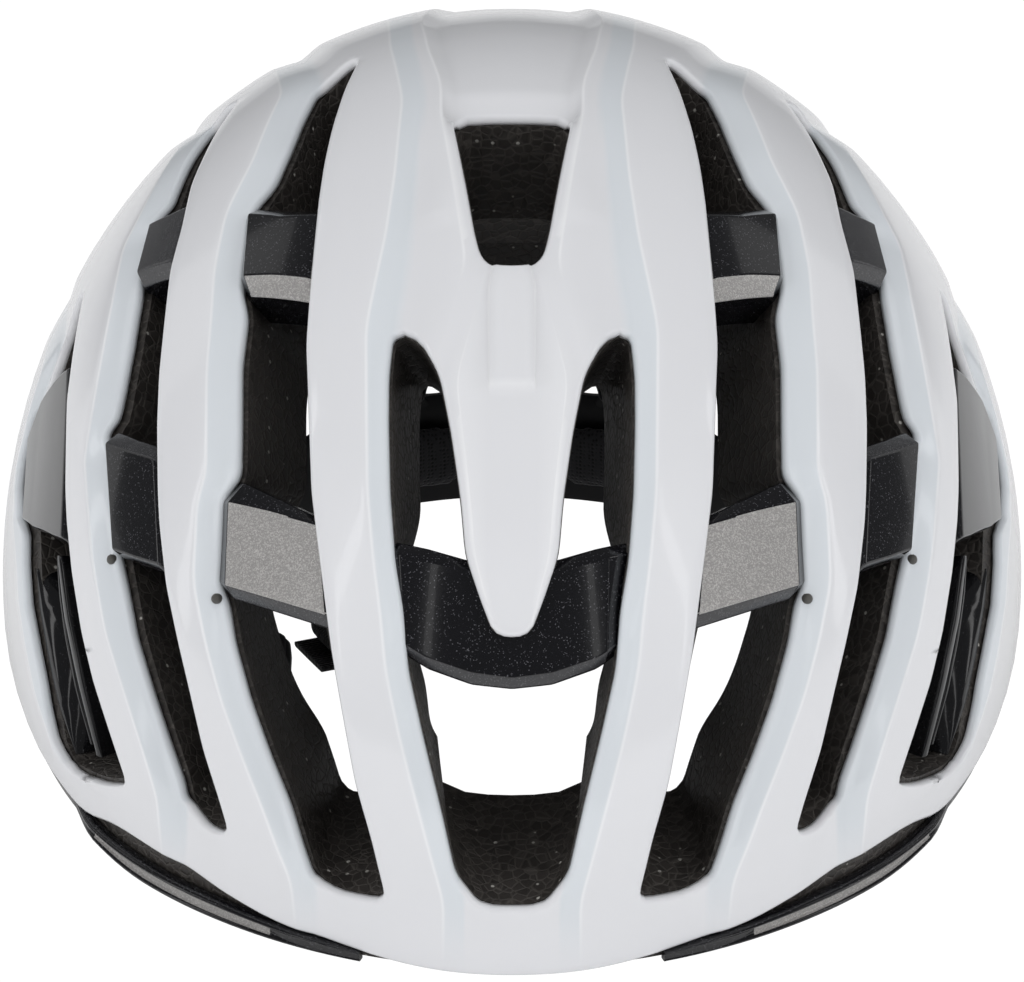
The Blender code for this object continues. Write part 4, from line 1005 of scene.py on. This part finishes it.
# Moulding nubs at the lower outer corners of the front and middle bridges
for side, sign in (("left", 1), ("right", -1)):
    for kind, aa, tt in (("front", 33.6, 24.6), ("mid", 49.7, 29.4)):
        place = dome(sign * aa, tt, -3.2)
        nub = turned(f"nub_{kind}_{side}", place, dome_normal(place),
                     [(0, 0.8), (0.7, 1.05), (1.4, 1.0), (1.8, 0.75), (2.0, 0.3)], sides=18, split=80)
        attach(nub, "helmet")
        nub.data.materials.append(NUB)

# ---------------------------------------------------------------------------
# The fit ring: a satin nylon band from temple to temple round the nape, pivoted
# on two pins, with a cradle, pads and a dial that draws two racks together.

# How far the band's two faces stand off the cavity's wall, in millimetres
BAND_IN, BAND_OUT = 4.2, 2.2


def wall(bearing, z, inset=0.0):
    """Point on the cavity's side wall: the plan ellipse, which narrows above the equator."""
    rise = np.maximum(z - EQUATOR, 0.0) / CAVITY[2]
    shrink = np.sqrt(1.0 - rise * rise)
    b = np.radians(bearing)
    return np.stack([(CAVITY[0] * shrink - inset) * np.sin(b),
                     -(CAVITY[1] * shrink - inset) * np.cos(b), z + 0 * b], -1)


def wall_band(name, stations, outer, inner, count=60, rib=0.35, split=60):
    """Band along the cavity wall: a rounded strip between two heights, with a raised edge bead on
    its outer side."""
    at, low, high = np.array(stations, float).T
    b = np.linspace(at[0], at[-1], count)
    order = np.argsort(at)
    low, high = [np.mean([np.interp(b + d, at[order], knots[order]) for d in range(-2, 3)], 0)[:, None]
                 for knots in (low, high)]
    v = np.linspace(0, 1, 17)[None]
    edge = (2 * v - 1) ** 10
    out = outer + rib - rib * (bump(0.09, 0.05, v) + bump(0.91, 0.05, v)) + 0.7 * edge
    front = wall(b[:, None], low + (high - low) * v, out)
    back = wall(b[:, None], low + (high - low) * v[:, ::-1], inner - 0.7 * edge)
    return loft(name, np.concatenate([front, back], 1), split=split)


ARM = [(60, 9.5, 22), (70, 9.5, 20.5), (85, 9, 19.5), (100, 8, 19.5), (115, 6.5, 20), (128, 4.8, 21),
       (140.98, 4, 21.5)]
PIN_BEARING, PIN_Z = 64.2, 16.0


def wall_axis(bearing, z):
    """Where a plug stands on the wall, and its axis square to the wall towards the head."""
    at = wall(bearing, z)
    inward = -np.array([at[0] / CAVITY[0] ** 2, at[1] / CAVITY[1] ** 2, 0.0])
    return at, inward / np.linalg.norm(inward)


def square(wave, power):
    """Wave that keeps its sign while its size is raised to a power; a low power squares the corners
    of a circle."""
    return np.sign(wave) * np.abs(wave) ** power


fit_pieces = []
for side, sign in (("left", 1), ("right", -1)):
    arm = wall_band(f"ring_arm_{side}", [(sign * b, lo, hi) for b, lo, hi in ARM], BAND_OUT, BAND_IN)
    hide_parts(f"fit_arm_{side}")
    at, inward = wall_axis(sign * PIN_BEARING, PIN_Z)
    pin = turned(f"pin_{side}", at, inward, [(4.6, 4.9), (5.4, 4.9), (6.1, 4.3), (6.5, 3.2), (6.6, 2.2),
                                             (6.3, 1.9), (6.3, 0.5)], sides=36)
    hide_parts(f"temple_pin_{side}")
    fit_pieces += [arm, pin]

b = np.linspace(141.2, 218.8, 90)
from_middle, knots = np.abs(b - 180), (0, 15, 30, 39)
low = np.interp(from_middle, knots, (0, 0, 0.6, 4)) + 0.05
high = np.interp(from_middle, knots, (25, 25, 24.5, 21.5)) - 0.05
cradle = wall_band("nape_cradle", list(zip(b, low, high)), BAND_OUT, BAND_IN, count=110, rib=0.6)
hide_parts("cradle")
fit_pieces.append(cradle)
for side, sign in (("left", 1), ("right", -1)):
    line = np.array([(165.0, 20.0, 2.9, 2.7), (164, 22.5, 2.6, 2.6), (163, 26.0, 1.9, 3.1),
                     (161.5, 32.0, 1.4, 4.4), (160, 38.0, 2.0, 5.6), (159, 43.0, 2.4, 6.6)])
    s = np.linspace(0, 5, 32)
    sb, sz, half, inset = [np.interp(s, range(6), line[:, k])[:, None] for k in range(4)]
    q = np.linspace(0, 2 * np.pi, 20, endpoint=False)[None]
    wide, thick = square(np.cos(q), 0.5), square(np.sin(q), 0.5)
    rings = wall(sign * (sb + half * wide), sz + 0 * q, inset + 0.75 + 0.7 * thick)
    fit_pieces.append(loft(f"nape_strut_{side}", rings, split=60))

DIAL_Y, DIAL_Z = 101.0, 14.0
x = np.concatenate([[-29.9, -29.5, -28.8], np.linspace(-27.5, 27.5, 41), [28.8, 29.5, 29.9]])[:, None]
q = np.linspace(0, 2 * np.pi, 40, endpoint=False)[None]
ends = np.clip((30 - np.abs(x)) / 2.0, 0.3, 1) ** 0.4
tall = (7.4 + 2.6 * np.exp(-(x / 13.0) ** 4)) * (0.88 + 0.12 * ends)
deep = 3.15 * (0.9 + 0.1 * ends)
case = np.stack([x + 0 * q, DIAL_Y + 1.8 + deep * square(np.cos(q), 0.42),
                 DIAL_Z + tall * square(np.sin(q), 0.42)], -1)
bore = np.stack([x + 0 * q, DIAL_Y + 1.9 + 1.5 * square(np.cos(q), 0.2) + 0 * x,
                 DIAL_Z + 5.4 * square(np.sin(q), 0.2) + 0 * x], -1)
housing = loft("dial_case", np.concatenate([case, bore[::-1], case[:1]], 0), split=50, caps=False)
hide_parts("dial_housing")
fit_pieces.append(housing)
for piece in fit_pieces:
    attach(piece, "fit_ring")
    piece.data.materials.append(NYLON)

knob = turned("dial_grip", (0, 0, DIAL_Z), (0, 1, 0),
              [(106.6, 11.6), (106.9, 12.5, 0.6), (107.5, 13.0, 1), (110.5, 13.0, 1), (112.8, 12.7, 1),
               (113.8, 12.0, 0.8), (114.3, 11.0, 0.2), (114.4, 10.0), (113.7, 9.4), (113.5, 8.8),
               (113.6, 6.0), (113.9, 3.0), (114.0, 0.6)], sides=168, flutes=14, depth=1.0, split=50)
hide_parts("dial_knob")
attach(knob, "dial")
knob.data.materials.append(satin_nylon("dial_rubber", (0.014, 0.014, 0.016, 1), (0.34, 0.5), 0.2))
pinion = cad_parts["dial_pinion"].data.materials
pinion.clear()
pinion.append(NYLON)

PITCH = 3.14                          # of the racks' teeth, in millimetres
for side, sign, low in (("right", -1, 9.0), ("left", 1, 18.3)):
    x = np.linspace(-1.9, 33.9, 240) * sign
    tooth = 0.34 * (0.5 + 0.5 * np.sign(np.sin(x * 2 * np.pi / PITCH))) * (np.abs(x) < 31)
    z0 = low + (tooth if side == "left" else 0 * x)
    z1 = low + 0.7 - (tooth if side == "right" else 0 * x)
    y0, y1 = DIAL_Y + 0.8, DIAL_Y + 3.0
    corners = [np.stack([x, y + 0 * x, z], -1) for y, z in ((y0, z0), (y0, z1), (y1, z1), (y1, z0))]
    rack = loft(f"rack_strip_{side}", np.stack(corners, 1), split=30)
    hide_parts(f"rack_{side}")
    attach(rack, "rack_l" if side == "left" else "rack_r")
    rack.data.materials.append(NYLON)

# Anchor plugs that hold the side straps in the foam
for side, sign in (("left", 1), ("right", -1)):
    for kind, around, z, base, top, wide in (("front", 52.5, 15.0, 0.5, 3.2, 5.5),
                                             ("rear", 130, 39.0, 1.5, 3.8, 5.0)):
        at, inward = wall_axis(sign * around, z)
        plug = turned(f"anchor_plug_{kind}_{side}", at, inward,
                      [(base - 0.6, wide), (base + 0.6, wide), (top - 0.7, wide - 0.4),
                       (top - 0.15, wide - 1.1), (top, wide - 2.0), (top - 0.5, wide - 2.4),
                       (top - 0.5, 0.5)], sides=36)
        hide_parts(f"anchor_{kind}_{side}")
        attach(plug, "helmet")
        plug.data.materials.append(NYLON)

# ---------------------------------------------------------------------------
# The webbing: flat woven polyester straps, 15 mm at the chin and narrower at
# the sides, folded on the table inside the helmet with its plastic fittings.

FOLD_ANGLE = np.radians(24.2)


def folded(s, v, z):
    """From the folded strap's own frame (along, across, up) to the helmet's."""
    s, v, z = np.broadcast_arrays(np.asarray(s, float), v, z)
    return np.stack([s * np.cos(FOLD_ANGLE) - v * np.sin(FOLD_ANGLE),
                     30 + s * np.sin(FOLD_ANGLE) + v * np.cos(FOLD_ANGLE), z], -1)


def unit(v):
    """The same direction, with length 1."""
    return v / np.linalg.norm(v, axis=-1, keepdims=True)


def ribbon(name, stations, width, thick=1.5, per=10):
    """Webbing along a smooth line: the section is a flattened oval with thick selvedges, and its
    UV map runs in metres along and across the strap."""
    centres = np.array([p for p, _ in stations], float)
    widths = np.array([unit(np.array(w, float)) for _, w in stations])
    count = len(centres)
    s = np.linspace(0, count - 1, (count - 1) * per + 1)

    def eased(values):
        padded = np.vstack([values[0], values, values[-1]])
        i = np.minimum(s.astype(int), count - 2)
        f = (s - i)[:, None]
        p0, p1, p2, p3 = padded[i], padded[i + 1], padded[i + 2], padded[i + 3]
        m1, m2 = (p2 - p0) * 0.38, (p3 - p1) * 0.38
        return ((2 * f ** 3 - 3 * f ** 2 + 1) * p1 + (f ** 3 - 2 * f ** 2 + f) * m1
                + (3 * f ** 2 - 2 * f ** 3) * p2 + (f ** 3 - f ** 2) * m2)

    line, across = eased(centres), eased(widths)
    along = unit(np.gradient(line, axis=0))
    across = unit(across - along * (along * across).sum(1, keepdims=True))
    normal = np.cross(along, across)
    q = np.linspace(0, 2 * np.pi, 24, endpoint=False)
    wide, high = square(np.cos(q), 0.35) * width / 2, square(np.sin(q), 0.55) * thick / 2
    high = high * (0.86 + 0.14 * smooth(0.72, 0.92, np.abs(wide) / (width / 2)))
    rings = line[:, None] + across[:, None] * wide[None, :, None] + normal[:, None] * high[None, :, None]
    made = loft(name, rings, split=70)
    run = np.concatenate([[0], np.cumsum(np.linalg.norm(np.diff(line, axis=0), axis=1))])
    co = read_mesh(made.data.vertices, "co") * 1000
    near = ((co[:, None] - line[None]) ** 2).sum(2).argmin(1)
    reach = ((co - line[near]) * across[near]).sum(1)
    step = ((co - line[near]) * along[near]).sum(1)
    uv = np.stack([(run[near] + step) / 1000, reach / 1000], -1)
    corners = np.zeros(len(made.data.loops), int)
    made.data.loops.foreach_get("vertex_index", corners)
    made.data.uv_layers.new(name="weave").data.foreach_set("uv", uv[corners].ravel())
    return made


def woven():
    """Polyester webbing: a herringbone of ribs across the strap and cords along it, from two sines on
    the UV map, with a dull sheen."""
    made, tree, shader = new_material("woven_webbing")
    place = add_node(tree, "UVMap", uv_map="weave").outputs["UV"]
    place = add_node(tree, "SeparateXYZ", {"Vector": place}).outputs

    def calc(kind, *values):
        return add_node(tree, "Math", dict(enumerate(values)), operation=kind).outputs["Value"]

    def wave(value):
        return calc("ADD", calc("MULTIPLY", calc("SINE", value), 0.5), 0.5)

    fold = calc("PINGPONG", place["Y"], 0.0018)
    ribs = wave(calc("ADD", calc("MULTIPLY", place["X"], 5200.0), calc("MULTIPLY", fold, 5200.0)))
    cords = wave(calc("MULTIPLY", place["Y"], 7000.0))
    height = calc("ADD", calc("MULTIPLY", ribs, 0.7), calc("MULTIPLY", cords, 0.3))
    colour = blended(tree, height, (0.008, 0.008, 0.009, 1), (0.032, 0.032, 0.035, 1))
    feed(tree, shader, {"Base Color": colour, "Normal": bumped(tree, height, 0.7, 0.0002),
                        "Roughness": 0.7, "Sheen Weight": 0.25})
    return made


UP, SIDEWAYS, LENGTHWAYS = (0, 0, 1), (1, 0, 0), (0, 1, 0)
right, left = folded(-61, 0, 0), folded(46, 0, 0)
STRAPS = {
    "strap_front_right": (12.6, [
        (wall(-52.6, 14.2, 4.2), UP), (wall(-57, 11.4, 5.8), UP), (wall(-68, 11.0, 8.6), UP),
        (right + (-5.5, -29, 8.4), (-0.3, 0, 1)), (right + (-1.5, -22, 4.4), (-1, 0, 0.6)),
        (right + (0, -17, 2.8), (-1, 0, 0)), (right + (0, -12.8, 2.4), (-1, 0, 0))]),
    "strap_rear_right": (12.4, [
        (wall(-130, 37.0, 5.2), (0.54, 0.84, 0)), (wall(-129.5, 24.0, 8.6), (0.4, 0.65, -0.65)),
        (wall(-122, 14.0, 9.4), (0, 0, -1)), (wall(-114, 9.5, 9.2), (0.3, 0, -1)),
        (right + (-2.0, 22, 4.4), (1, 0, -0.6)), (right + (0, 17, 2.8), SIDEWAYS),
        (right + (0, 12.8, 2.4), SIDEWAYS)]),
    "strap_front_left": (10.8, [
        (wall(52.6, 14.2, 4.2), UP), (wall(57, 11.4, 5.8), UP), (wall(68, 10.0, 8.6), UP),
        (wall(84, 9.0, 8.8), UP), (wall(100, 8.5, 9.0), UP), (wall(110, 7.6, 10.5), (0.4, 0, 1)),
        (left + (17.5, -6.8, 3.6), (0.6, 0.8, 0.5)), (left + (12.1, -5.0, 2.4), LENGTHWAYS)]),
    "strap_rear_left": (9.8, [
        (wall(130, 37.4, 5.2), (-0.54, 0.84, 0)), (wall(130, 24.5, 6.9), (-0.54, 0.84, 0)),
        (wall(129, 15.0, 8.4), (-0.54, 0.84, 0)), (left + (14.6, 7.4, 8.0), (-0.3, 1, 0)),
        (left + (13.6, 6.2, 4.2), LENGTHWAYS), (left + (11.0, 6.0, 2.4), LENGTHWAYS)]),
}
ACROSS = tuple(folded(0, 1, 0) - folded(0, 0, 0))
for name, s0, s1 in (("chin_strap_right", -46.3, -21.2), ("chin_strap_left", 14.4, 30.0)):
    STRAPS[name] = (15.0, [(folded(s, 0, 1.4), ACROSS) for s in np.linspace(s0, s1, 4)])
WOVEN = woven()
for name, (width, stations) in STRAPS.items():
    strap = ribbon("web_" + name.replace("strap_", ""), stations, width)
    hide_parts(name)
    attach(strap, "helmet")
    strap.data.materials.append(WOVEN)


def plate(name, outline_points, levels, split=50):
    """Moulded plate: an outline of (x, y) pairs, given by a function of inset, lofted through
    (height, inset) pairs."""
    rings = []
    for height, inset in levels:
        flat = outline_points(inset)
        rings.append(np.hstack([flat, np.full((len(flat), 1), height)]))
    return loft(name, rings, split=split)


def slab(half_x, half_y, power=0.3, count=48):
    """Rounded rectangle: a superellipse whose corners square up as the power falls."""
    q = np.linspace(0, 2 * np.pi, count, endpoint=False)
    c, s = square(np.cos(q), power), square(np.sin(q), power)
    return lambda inset: np.stack([(half_x - inset) * c, (half_y - inset) * s], -1)


def lay(piece, turn, shift):
    """Turn a finished mesh about Z and move it, in millimetres, leaving the object at the origin."""
    x, y, z = read_mesh(piece.data.vertices, "co").T
    c, s = np.cos(turn), np.sin(turn)
    moved = np.stack([x * c - y * s, x * s + y * c, z], -1) + np.array(shift) / 1000
    piece.data.vertices.foreach_set("co", moved.ravel())
    piece.data.update()
    return piece


def fitting(piece, node, body):
    """Put a plastic fitting in its CAD node's place, on its body."""
    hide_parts(node)
    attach(piece, body)
    piece.data.materials.append(NYLON)


for side, sign, hub in (("left", 1, left), ("right", -1, right)):
    base = plate(f"divider_body_{side}", slab(10.0, 12.0),
                 [(0.4, 0.5), (0.9, 0.0), (3.2, 0.2), (4.0, 0.8), (4.35, 1.8), (4.2, 2.6), (4.2, 6.0)])
    fitting(lay(base, 0, hub), f"divider_{side}", "helmet")
    lever = plate(f"cam_lever_{side}", slab(8.5, 8.0, 0.35),
                  [(4.85, 0.5), (5.2, 0.1), (6.1, 0.1), (6.7, 0.7), (6.9, 1.8)])
    lay(lever, 0, hub + np.array([-sign * 0.5, 0, 0]))
    fitting(lever, f"divider_lever_{side}", f"lever_{side[0]}")


def sleeve_along(name, s, half_v, low, high, hole_v, hole_low, hole_high, swell=0.0):
    """Sleeve along the fold: a rounded outer section and a rounded hole, joined at both mouths."""
    s = np.asarray(s, float)[:, None]
    q = np.linspace(0, 2 * np.pi, 36, endpoint=False)[None]
    c, n = square(np.cos(q), 0.35), square(np.sin(q), 0.35)
    middle = np.cos(np.pi * (s - s.mean()) / (s.max() - s.min() + 1e-6))
    ends = np.clip(np.minimum(s - s.min(), s.max() - s) / 0.8, 0.0, 1.0) ** 0.5
    inset = 0.5 * (1 - ends)
    across, up = half_v + swell * middle - inset, (high - low) / 2 - inset
    outer = folded(s + 0 * q, across * c, (low + high) / 2 + up * n)
    inner = folded(s + 0 * q, hole_v * c, (hole_low + hole_high) / 2 + (hole_high - hole_low) / 2 * n)
    return loft(name, np.concatenate([outer, inner[::-1], outer[:1]], 0), split=50, caps=False)


def sleeve_stations(start, end):
    """Places along a sleeve, close together at both rounded mouths."""
    return np.concatenate([[start, start + 0.25, start + 0.7], np.linspace(start + 1.4, end - 1.4, 12),
                           [end - 0.7, end - 0.25, end]])


socket = sleeve_along("buckle_body", sleeve_stations(-20.4, 1.5), 11.4, 0.35, 9.2, 8.3, 2.2, 7.4, 0.6)
fitting(socket, "buckle_socket", "helmet")
keeper = sleeve_along("strap_loop", sleeve_stations(24.05, 28.95), 9.6, 0.3, 4.0, 8.3, 0.6, 2.6)
fitting(keeper, "strap_keeper", "helmet")
TONGUE = np.array([(13.4, -10.6), (13.4, 10.6), (2.9, 10.6), (2.3, 7.2), (-6.0, 6.6), (-13.6, 5.9),
                   (-13.8, 3.4), (-2.0, 3.0), (-2.0, -3.0), (-13.8, -3.4), (-13.6, -5.9), (-6.0, -6.6),
                   (2.3, -7.2), (2.9, -10.6)])


def tongue_outline(inset):
    """The buckle's tongue: crossbar and two prongs, its corners rounded, drawn in by the inset."""
    p = rounded(TONGUE / FLAT, 1.3, 4)
    return p - np.sign(p) * np.minimum(inset, np.abs(p) * 0.5)


tongue = plate("buckle_tongue", tongue_outline, [(3.0, 0.3), (3.3, 0.0), (6.3, 0.0), (6.6, 0.3)], split=45)
fitting(lay(tongue, FOLD_ANGLE, (0, 30, 0)), "buckle_plug", "plug")

# ---------------------------------------------------------------------------
# The pads: soft laminated foam under a knitted cover, held on by hook tape.
# Each is blown up a little as cloth, then smoothed.


def knit():
    """Knitted pad cover: a small mesh of holes, darker at the bottom, with a dull uneven nap."""
    made, tree, shader = new_material("knit_cover")
    place = add_node(tree, "TexCoord").outputs["Object"]
    cells = add_node(tree, "TexVoronoi", {"Vector": place, "Scale": 1150.0, "Randomness": 0.25})
    hole = ranged(tree, cells.outputs["Distance"], (0.15, 0.5))
    add_grain(tree, shader, 3000.0, 45.0, 0.2, 0.0001, (0.78, 0.92))
    colour = blended(tree, hole, (0.008, 0.008, 0.009, 1), (0.045, 0.045, 0.05, 1))
    feed(tree, shader, {"Base Color": colour, "Normal": bumped(tree, hole, 0.6, 0.0003),
                        "Sheen Weight": 0.35})
    return made


KNIT = knit()
# The copy's scale, its voxel in metres at that scale, the cloth's pressure and its frames
SWELL_SCALE, VOXEL, PRESSURE, FRAMES = 10.0, 0.012, 4.0, 14


def swell(piece, cap):
    """Blow the pad up as cloth on a copy ten times as large, where the solver is steady, then bring
    the movement back, held to the cap in millimetres."""
    vertices = piece.data.vertices
    vertices.foreach_set("co", read_mesh(vertices, "co").ravel() * SWELL_SCALE)
    piece.data.update()
    remesh = piece.modifiers.new("remesh", "REMESH")
    remesh.mode = "VOXEL"
    remesh.voxel_size = VOXEL
    bpy.context.view_layer.objects.active = piece
    bpy.ops.object.modifier_apply(modifier="remesh")
    start = read_mesh(piece.data.vertices, "co")
    cloth = piece.modifiers.new("cloth", "CLOTH")
    cloth.settings.use_pressure = True
    cloth.settings.uniform_pressure_force = PRESSURE
    cloth.settings.effector_weights.gravity = 0.0
    cloth.settings.quality = 4
    for step in range(1, FRAMES + 1):
        bpy.context.scene.frame_set(step)
    bpy.ops.object.modifier_apply(modifier="cloth")
    bpy.context.scene.frame_set(1)
    move = (read_mesh(piece.data.vertices, "co") - start) / SWELL_SCALE
    size = np.maximum(np.linalg.norm(move, axis=1, keepdims=True), 1e-9)
    limit = cap * 0.001
    move = move / size * limit * np.tanh(size / limit)
    piece.data.vertices.foreach_set("co", (start / SWELL_SCALE + move).ravel())
    piece.data.update()
    soften = piece.modifiers.new("soften", "SMOOTH")
    soften.factor, soften.iterations = 0.5, 3
    bpy.ops.object.modifier_apply(modifier="soften")
    piece.data.shade_smooth()
    finer = piece.modifiers.new("finer", "SUBSURF")
    finer.levels = finer.render_levels = 1


def cushion(name, place, count_u, count_v, thick):
    """Closed pad: place(u, v, depth) maps the unit square and a depth onto its seat. The section is a
    crowned lens: flat where it rests, its face rising on a rounded-square profile."""
    u = np.linspace(0, 1, count_u)[:, None]
    q = np.linspace(0, 2 * np.pi, count_v, endpoint=False)[None]
    ends = np.clip(1 - np.abs(2 * u - 1) ** 6, 0.02, 1) ** 0.5
    across = 0.5 + 0.5 * square(np.cos(q), 0.5) * ends
    depth = thick * (0.5 + 0.5 * square(np.sin(q), 0.6) * (0.25 + 0.75 * ends))
    return loft(name, place(u + 0 * q, across, depth), split=None)


def pad_done(piece, node, body, cap=0.6):
    """Swell a pad, then fix it and give it its cover."""
    swell(piece, cap)
    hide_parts(node)
    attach(piece, body)
    piece.data.materials.append(KNIT)


def brow_seat(u, v, depth):
    """Seat along the cavity's front wall, between two heights that close up towards its ends."""
    b = -44.5 + 89 * u
    low, high = 3.2 + np.abs(b) * 0.03, 13.8 - np.abs(b) * 0.04
    return wall(b, low + (high - low) * v, 1.1 + depth)


def ceiling_seat(sign, a0, a1, t0, t1):
    """Seat on the cavity's ceiling between two sideways angles and two angles over the top."""
    def seat(u, v, depth):
        a, t = np.radians(sign * (a0 + (a1 - a0) * v)), np.radians(t0 + (t1 - t0) * u)
        r = CAVITY[:, None, None] - 1.3 - depth[None]
        return np.stack([r[0] * np.sin(a), -r[1] * np.cos(a) * np.cos(t),
                         EQUATOR + r[2] * np.cos(a) * np.sin(t)], -1)
    return seat


def nape_seat(sign):
    """Seat on the inner face of the cradle, on one side of its middle."""
    return lambda u, v, depth: wall(sign * (148.0 + 25.0 * u), 4.2 + 15.2 * v, 5.1 + depth)


def chin_seat(u, v, depth):
    """Seat on top of the chin strap's right half."""
    return folded(-44.4 + 21.8 * u, -12.3 + 24.6 * v, 3.0 + depth)


pad_done(cushion("cushion_brow", brow_seat, 60, 28, 3.8), "pad_brow", "helmet")
for side, sign in (("left", 1), ("right", -1)):
    pad_done(cushion(f"cushion_crown_{side}", ceiling_seat(sign, 10.8, 18.6, 49, 125), 60, 28, 3.6),
             f"pad_crown_{side}", "helmet")
    pad_done(cushion(f"cushion_side_{side}", ceiling_seat(sign, 51.0, 55.6, 49, 105), 44, 24, 3.6),
             f"pad_side_{side}", "helmet")
    pad_done(cushion(f"cushion_nape_{side}", nape_seat(sign), 30, 24, 2.7),
             f"cradle_pad_{side}", "fit_ring")
pad_done(cushion("cushion_chin", chin_seat, 30, 28, 3.8), "chin_pad", "helmet")

# ---------------------------------------------------------------------------
# Stage: white paper floor, pale surround, soft lamps and the camera. The floor
# and the surround look white to the camera and light the helmet more softly.

FLOOR_Z, FLOOR_HALF = -0.0006, 6.0
WHITE, COOL = 1.05, (0.97, 0.98, 1.0, 1)
floor_data = bpy.data.meshes.new("floor")
floor_data.from_pydata([(x * FLOOR_HALF, y * FLOOR_HALF, FLOOR_Z)
                        for x, y in ((-1, -1), (1, -1), (1, 1), (-1, 1))], [], [(0, 1, 2, 3)])
floor = bpy.data.objects.new("floor", floor_data)
bpy.context.scene.collection.objects.link(floor)


def by_ray(tree, kind, others, chosen):
    """Shader that is the chosen one for rays of this kind and the other one for the rest."""
    ray = add_node(tree, "LightPath").outputs[kind]
    return add_node(tree, "MixShader", {0: ray, 1: others, 2: chosen}).outputs["Shader"]


paper, tree, shader = new_material("white_paper")
feed(tree, shader, {"Base Color": (0.9, 0.9, 0.9, 1), "Roughness": 0.9,
                    "Emission Color": (1, 1, 1, 1), "Emission Strength": 0.12})
glow = add_node(tree, "Emission", {"Strength": WHITE}).outputs["Emission"]
seen = by_ray(tree, "Is Camera Ray", shader.outputs["BSDF"], glow)
feed(tree, tree.nodes["Material Output"], {"Surface": seen})
floor_data.materials.append(paper)

world = bpy.data.worlds.new("studio")
bpy.context.scene.world = world
world.use_nodes = True
tree = world.node_tree
soft = tree.nodes["Background"]
feed(tree, soft, {"Color": COOL, "Strength": 0.27})
dim = add_node(tree, "Background", {"Color": COOL, "Strength": 0.13})
plain = add_node(tree, "Background", {"Strength": WHITE})
seen = by_ray(tree, "Is Glossy Ray", soft.outputs["Background"], dim.outputs["Background"])
seen = by_ray(tree, "Is Camera Ray", seen, plain.outputs["Background"])
feed(tree, tree.nodes["World Output"], {"Surface": seen})


def lamp(name, azimuth, height, reach, size, power, shine=True):
    """Soft box at an azimuth (0 in front, positive to the wearer's left) and elevation, aimed at the
    middle of the helmet. Without shine it lights the colours and leaves no reflection of itself."""
    data = bpy.data.lights.new(name, "AREA")
    data.shape = "RECTANGLE"
    data.size, data.size_y = size
    data.energy = power
    made = bpy.data.objects.new(name, data)
    az, el = np.radians(azimuth), np.radians(height)
    spot = np.array([np.sin(az) * np.cos(el), -np.cos(az) * np.cos(el), np.sin(el)]) * reach
    made.location = spot + [0, 0, 0.06]
    made.rotation_euler = (np.pi / 2 - el, 0, az)
    made.visible_glossy = shine
    bpy.context.scene.collection.objects.link(made)


for side in (-1, 1):
    lamp(f"key_{side}", side * 52, 24, 1.6, (1.0, 1.2), 6.6, shine=False)
    lamp(f"inner_line_{side}", side * 24, 30, 1.5, (0.05, 0.9), 0.17)
    lamp(f"middle_line_{side}", side * 50, 26, 1.5, (0.09, 1.1), 0.45)
    lamp(f"outer_line_{side}", side * 88, 22, 1.5, (0.16, 1.2), 0.9)
    lamp(f"edge_{side}", side * 124, 18, 1.5, (0.5, 1.2), 0.7)
lamp("fill", 0, 34, 1.9, (0.9, 0.6), 2.8, shine=False)
lamp("box_top", 0, 84, 1.5, (1.5, 0.8), 4.6, shine=False)
lamp("box_back", 180, 48, 1.7, (1.5, 0.5), 3.6, shine=False)

# A long lens, the camera's distance and its height over the table as an angle, and the point it faces
LENS, DISTANCE, TILT = 274.5, 1.6, np.radians(23.5)
AIM_Y, AIM_Z = 0.00629, 0.04097
camera_data = bpy.data.cameras.new("camera")
camera_data.sensor_width = 36.0
camera_data.lens = LENS
camera_data.clip_end = 20.0
camera = bpy.data.objects.new("camera", camera_data)
camera.location = (0, AIM_Y - DISTANCE * np.cos(TILT), AIM_Z + DISTANCE * np.sin(TILT))
camera.rotation_euler = (np.pi / 2 - TILT, 0, 0)
bpy.context.scene.collection.objects.link(camera)
bpy.context.scene.camera = camera
bpy.context.scene.view_settings.view_transform = "Standard"
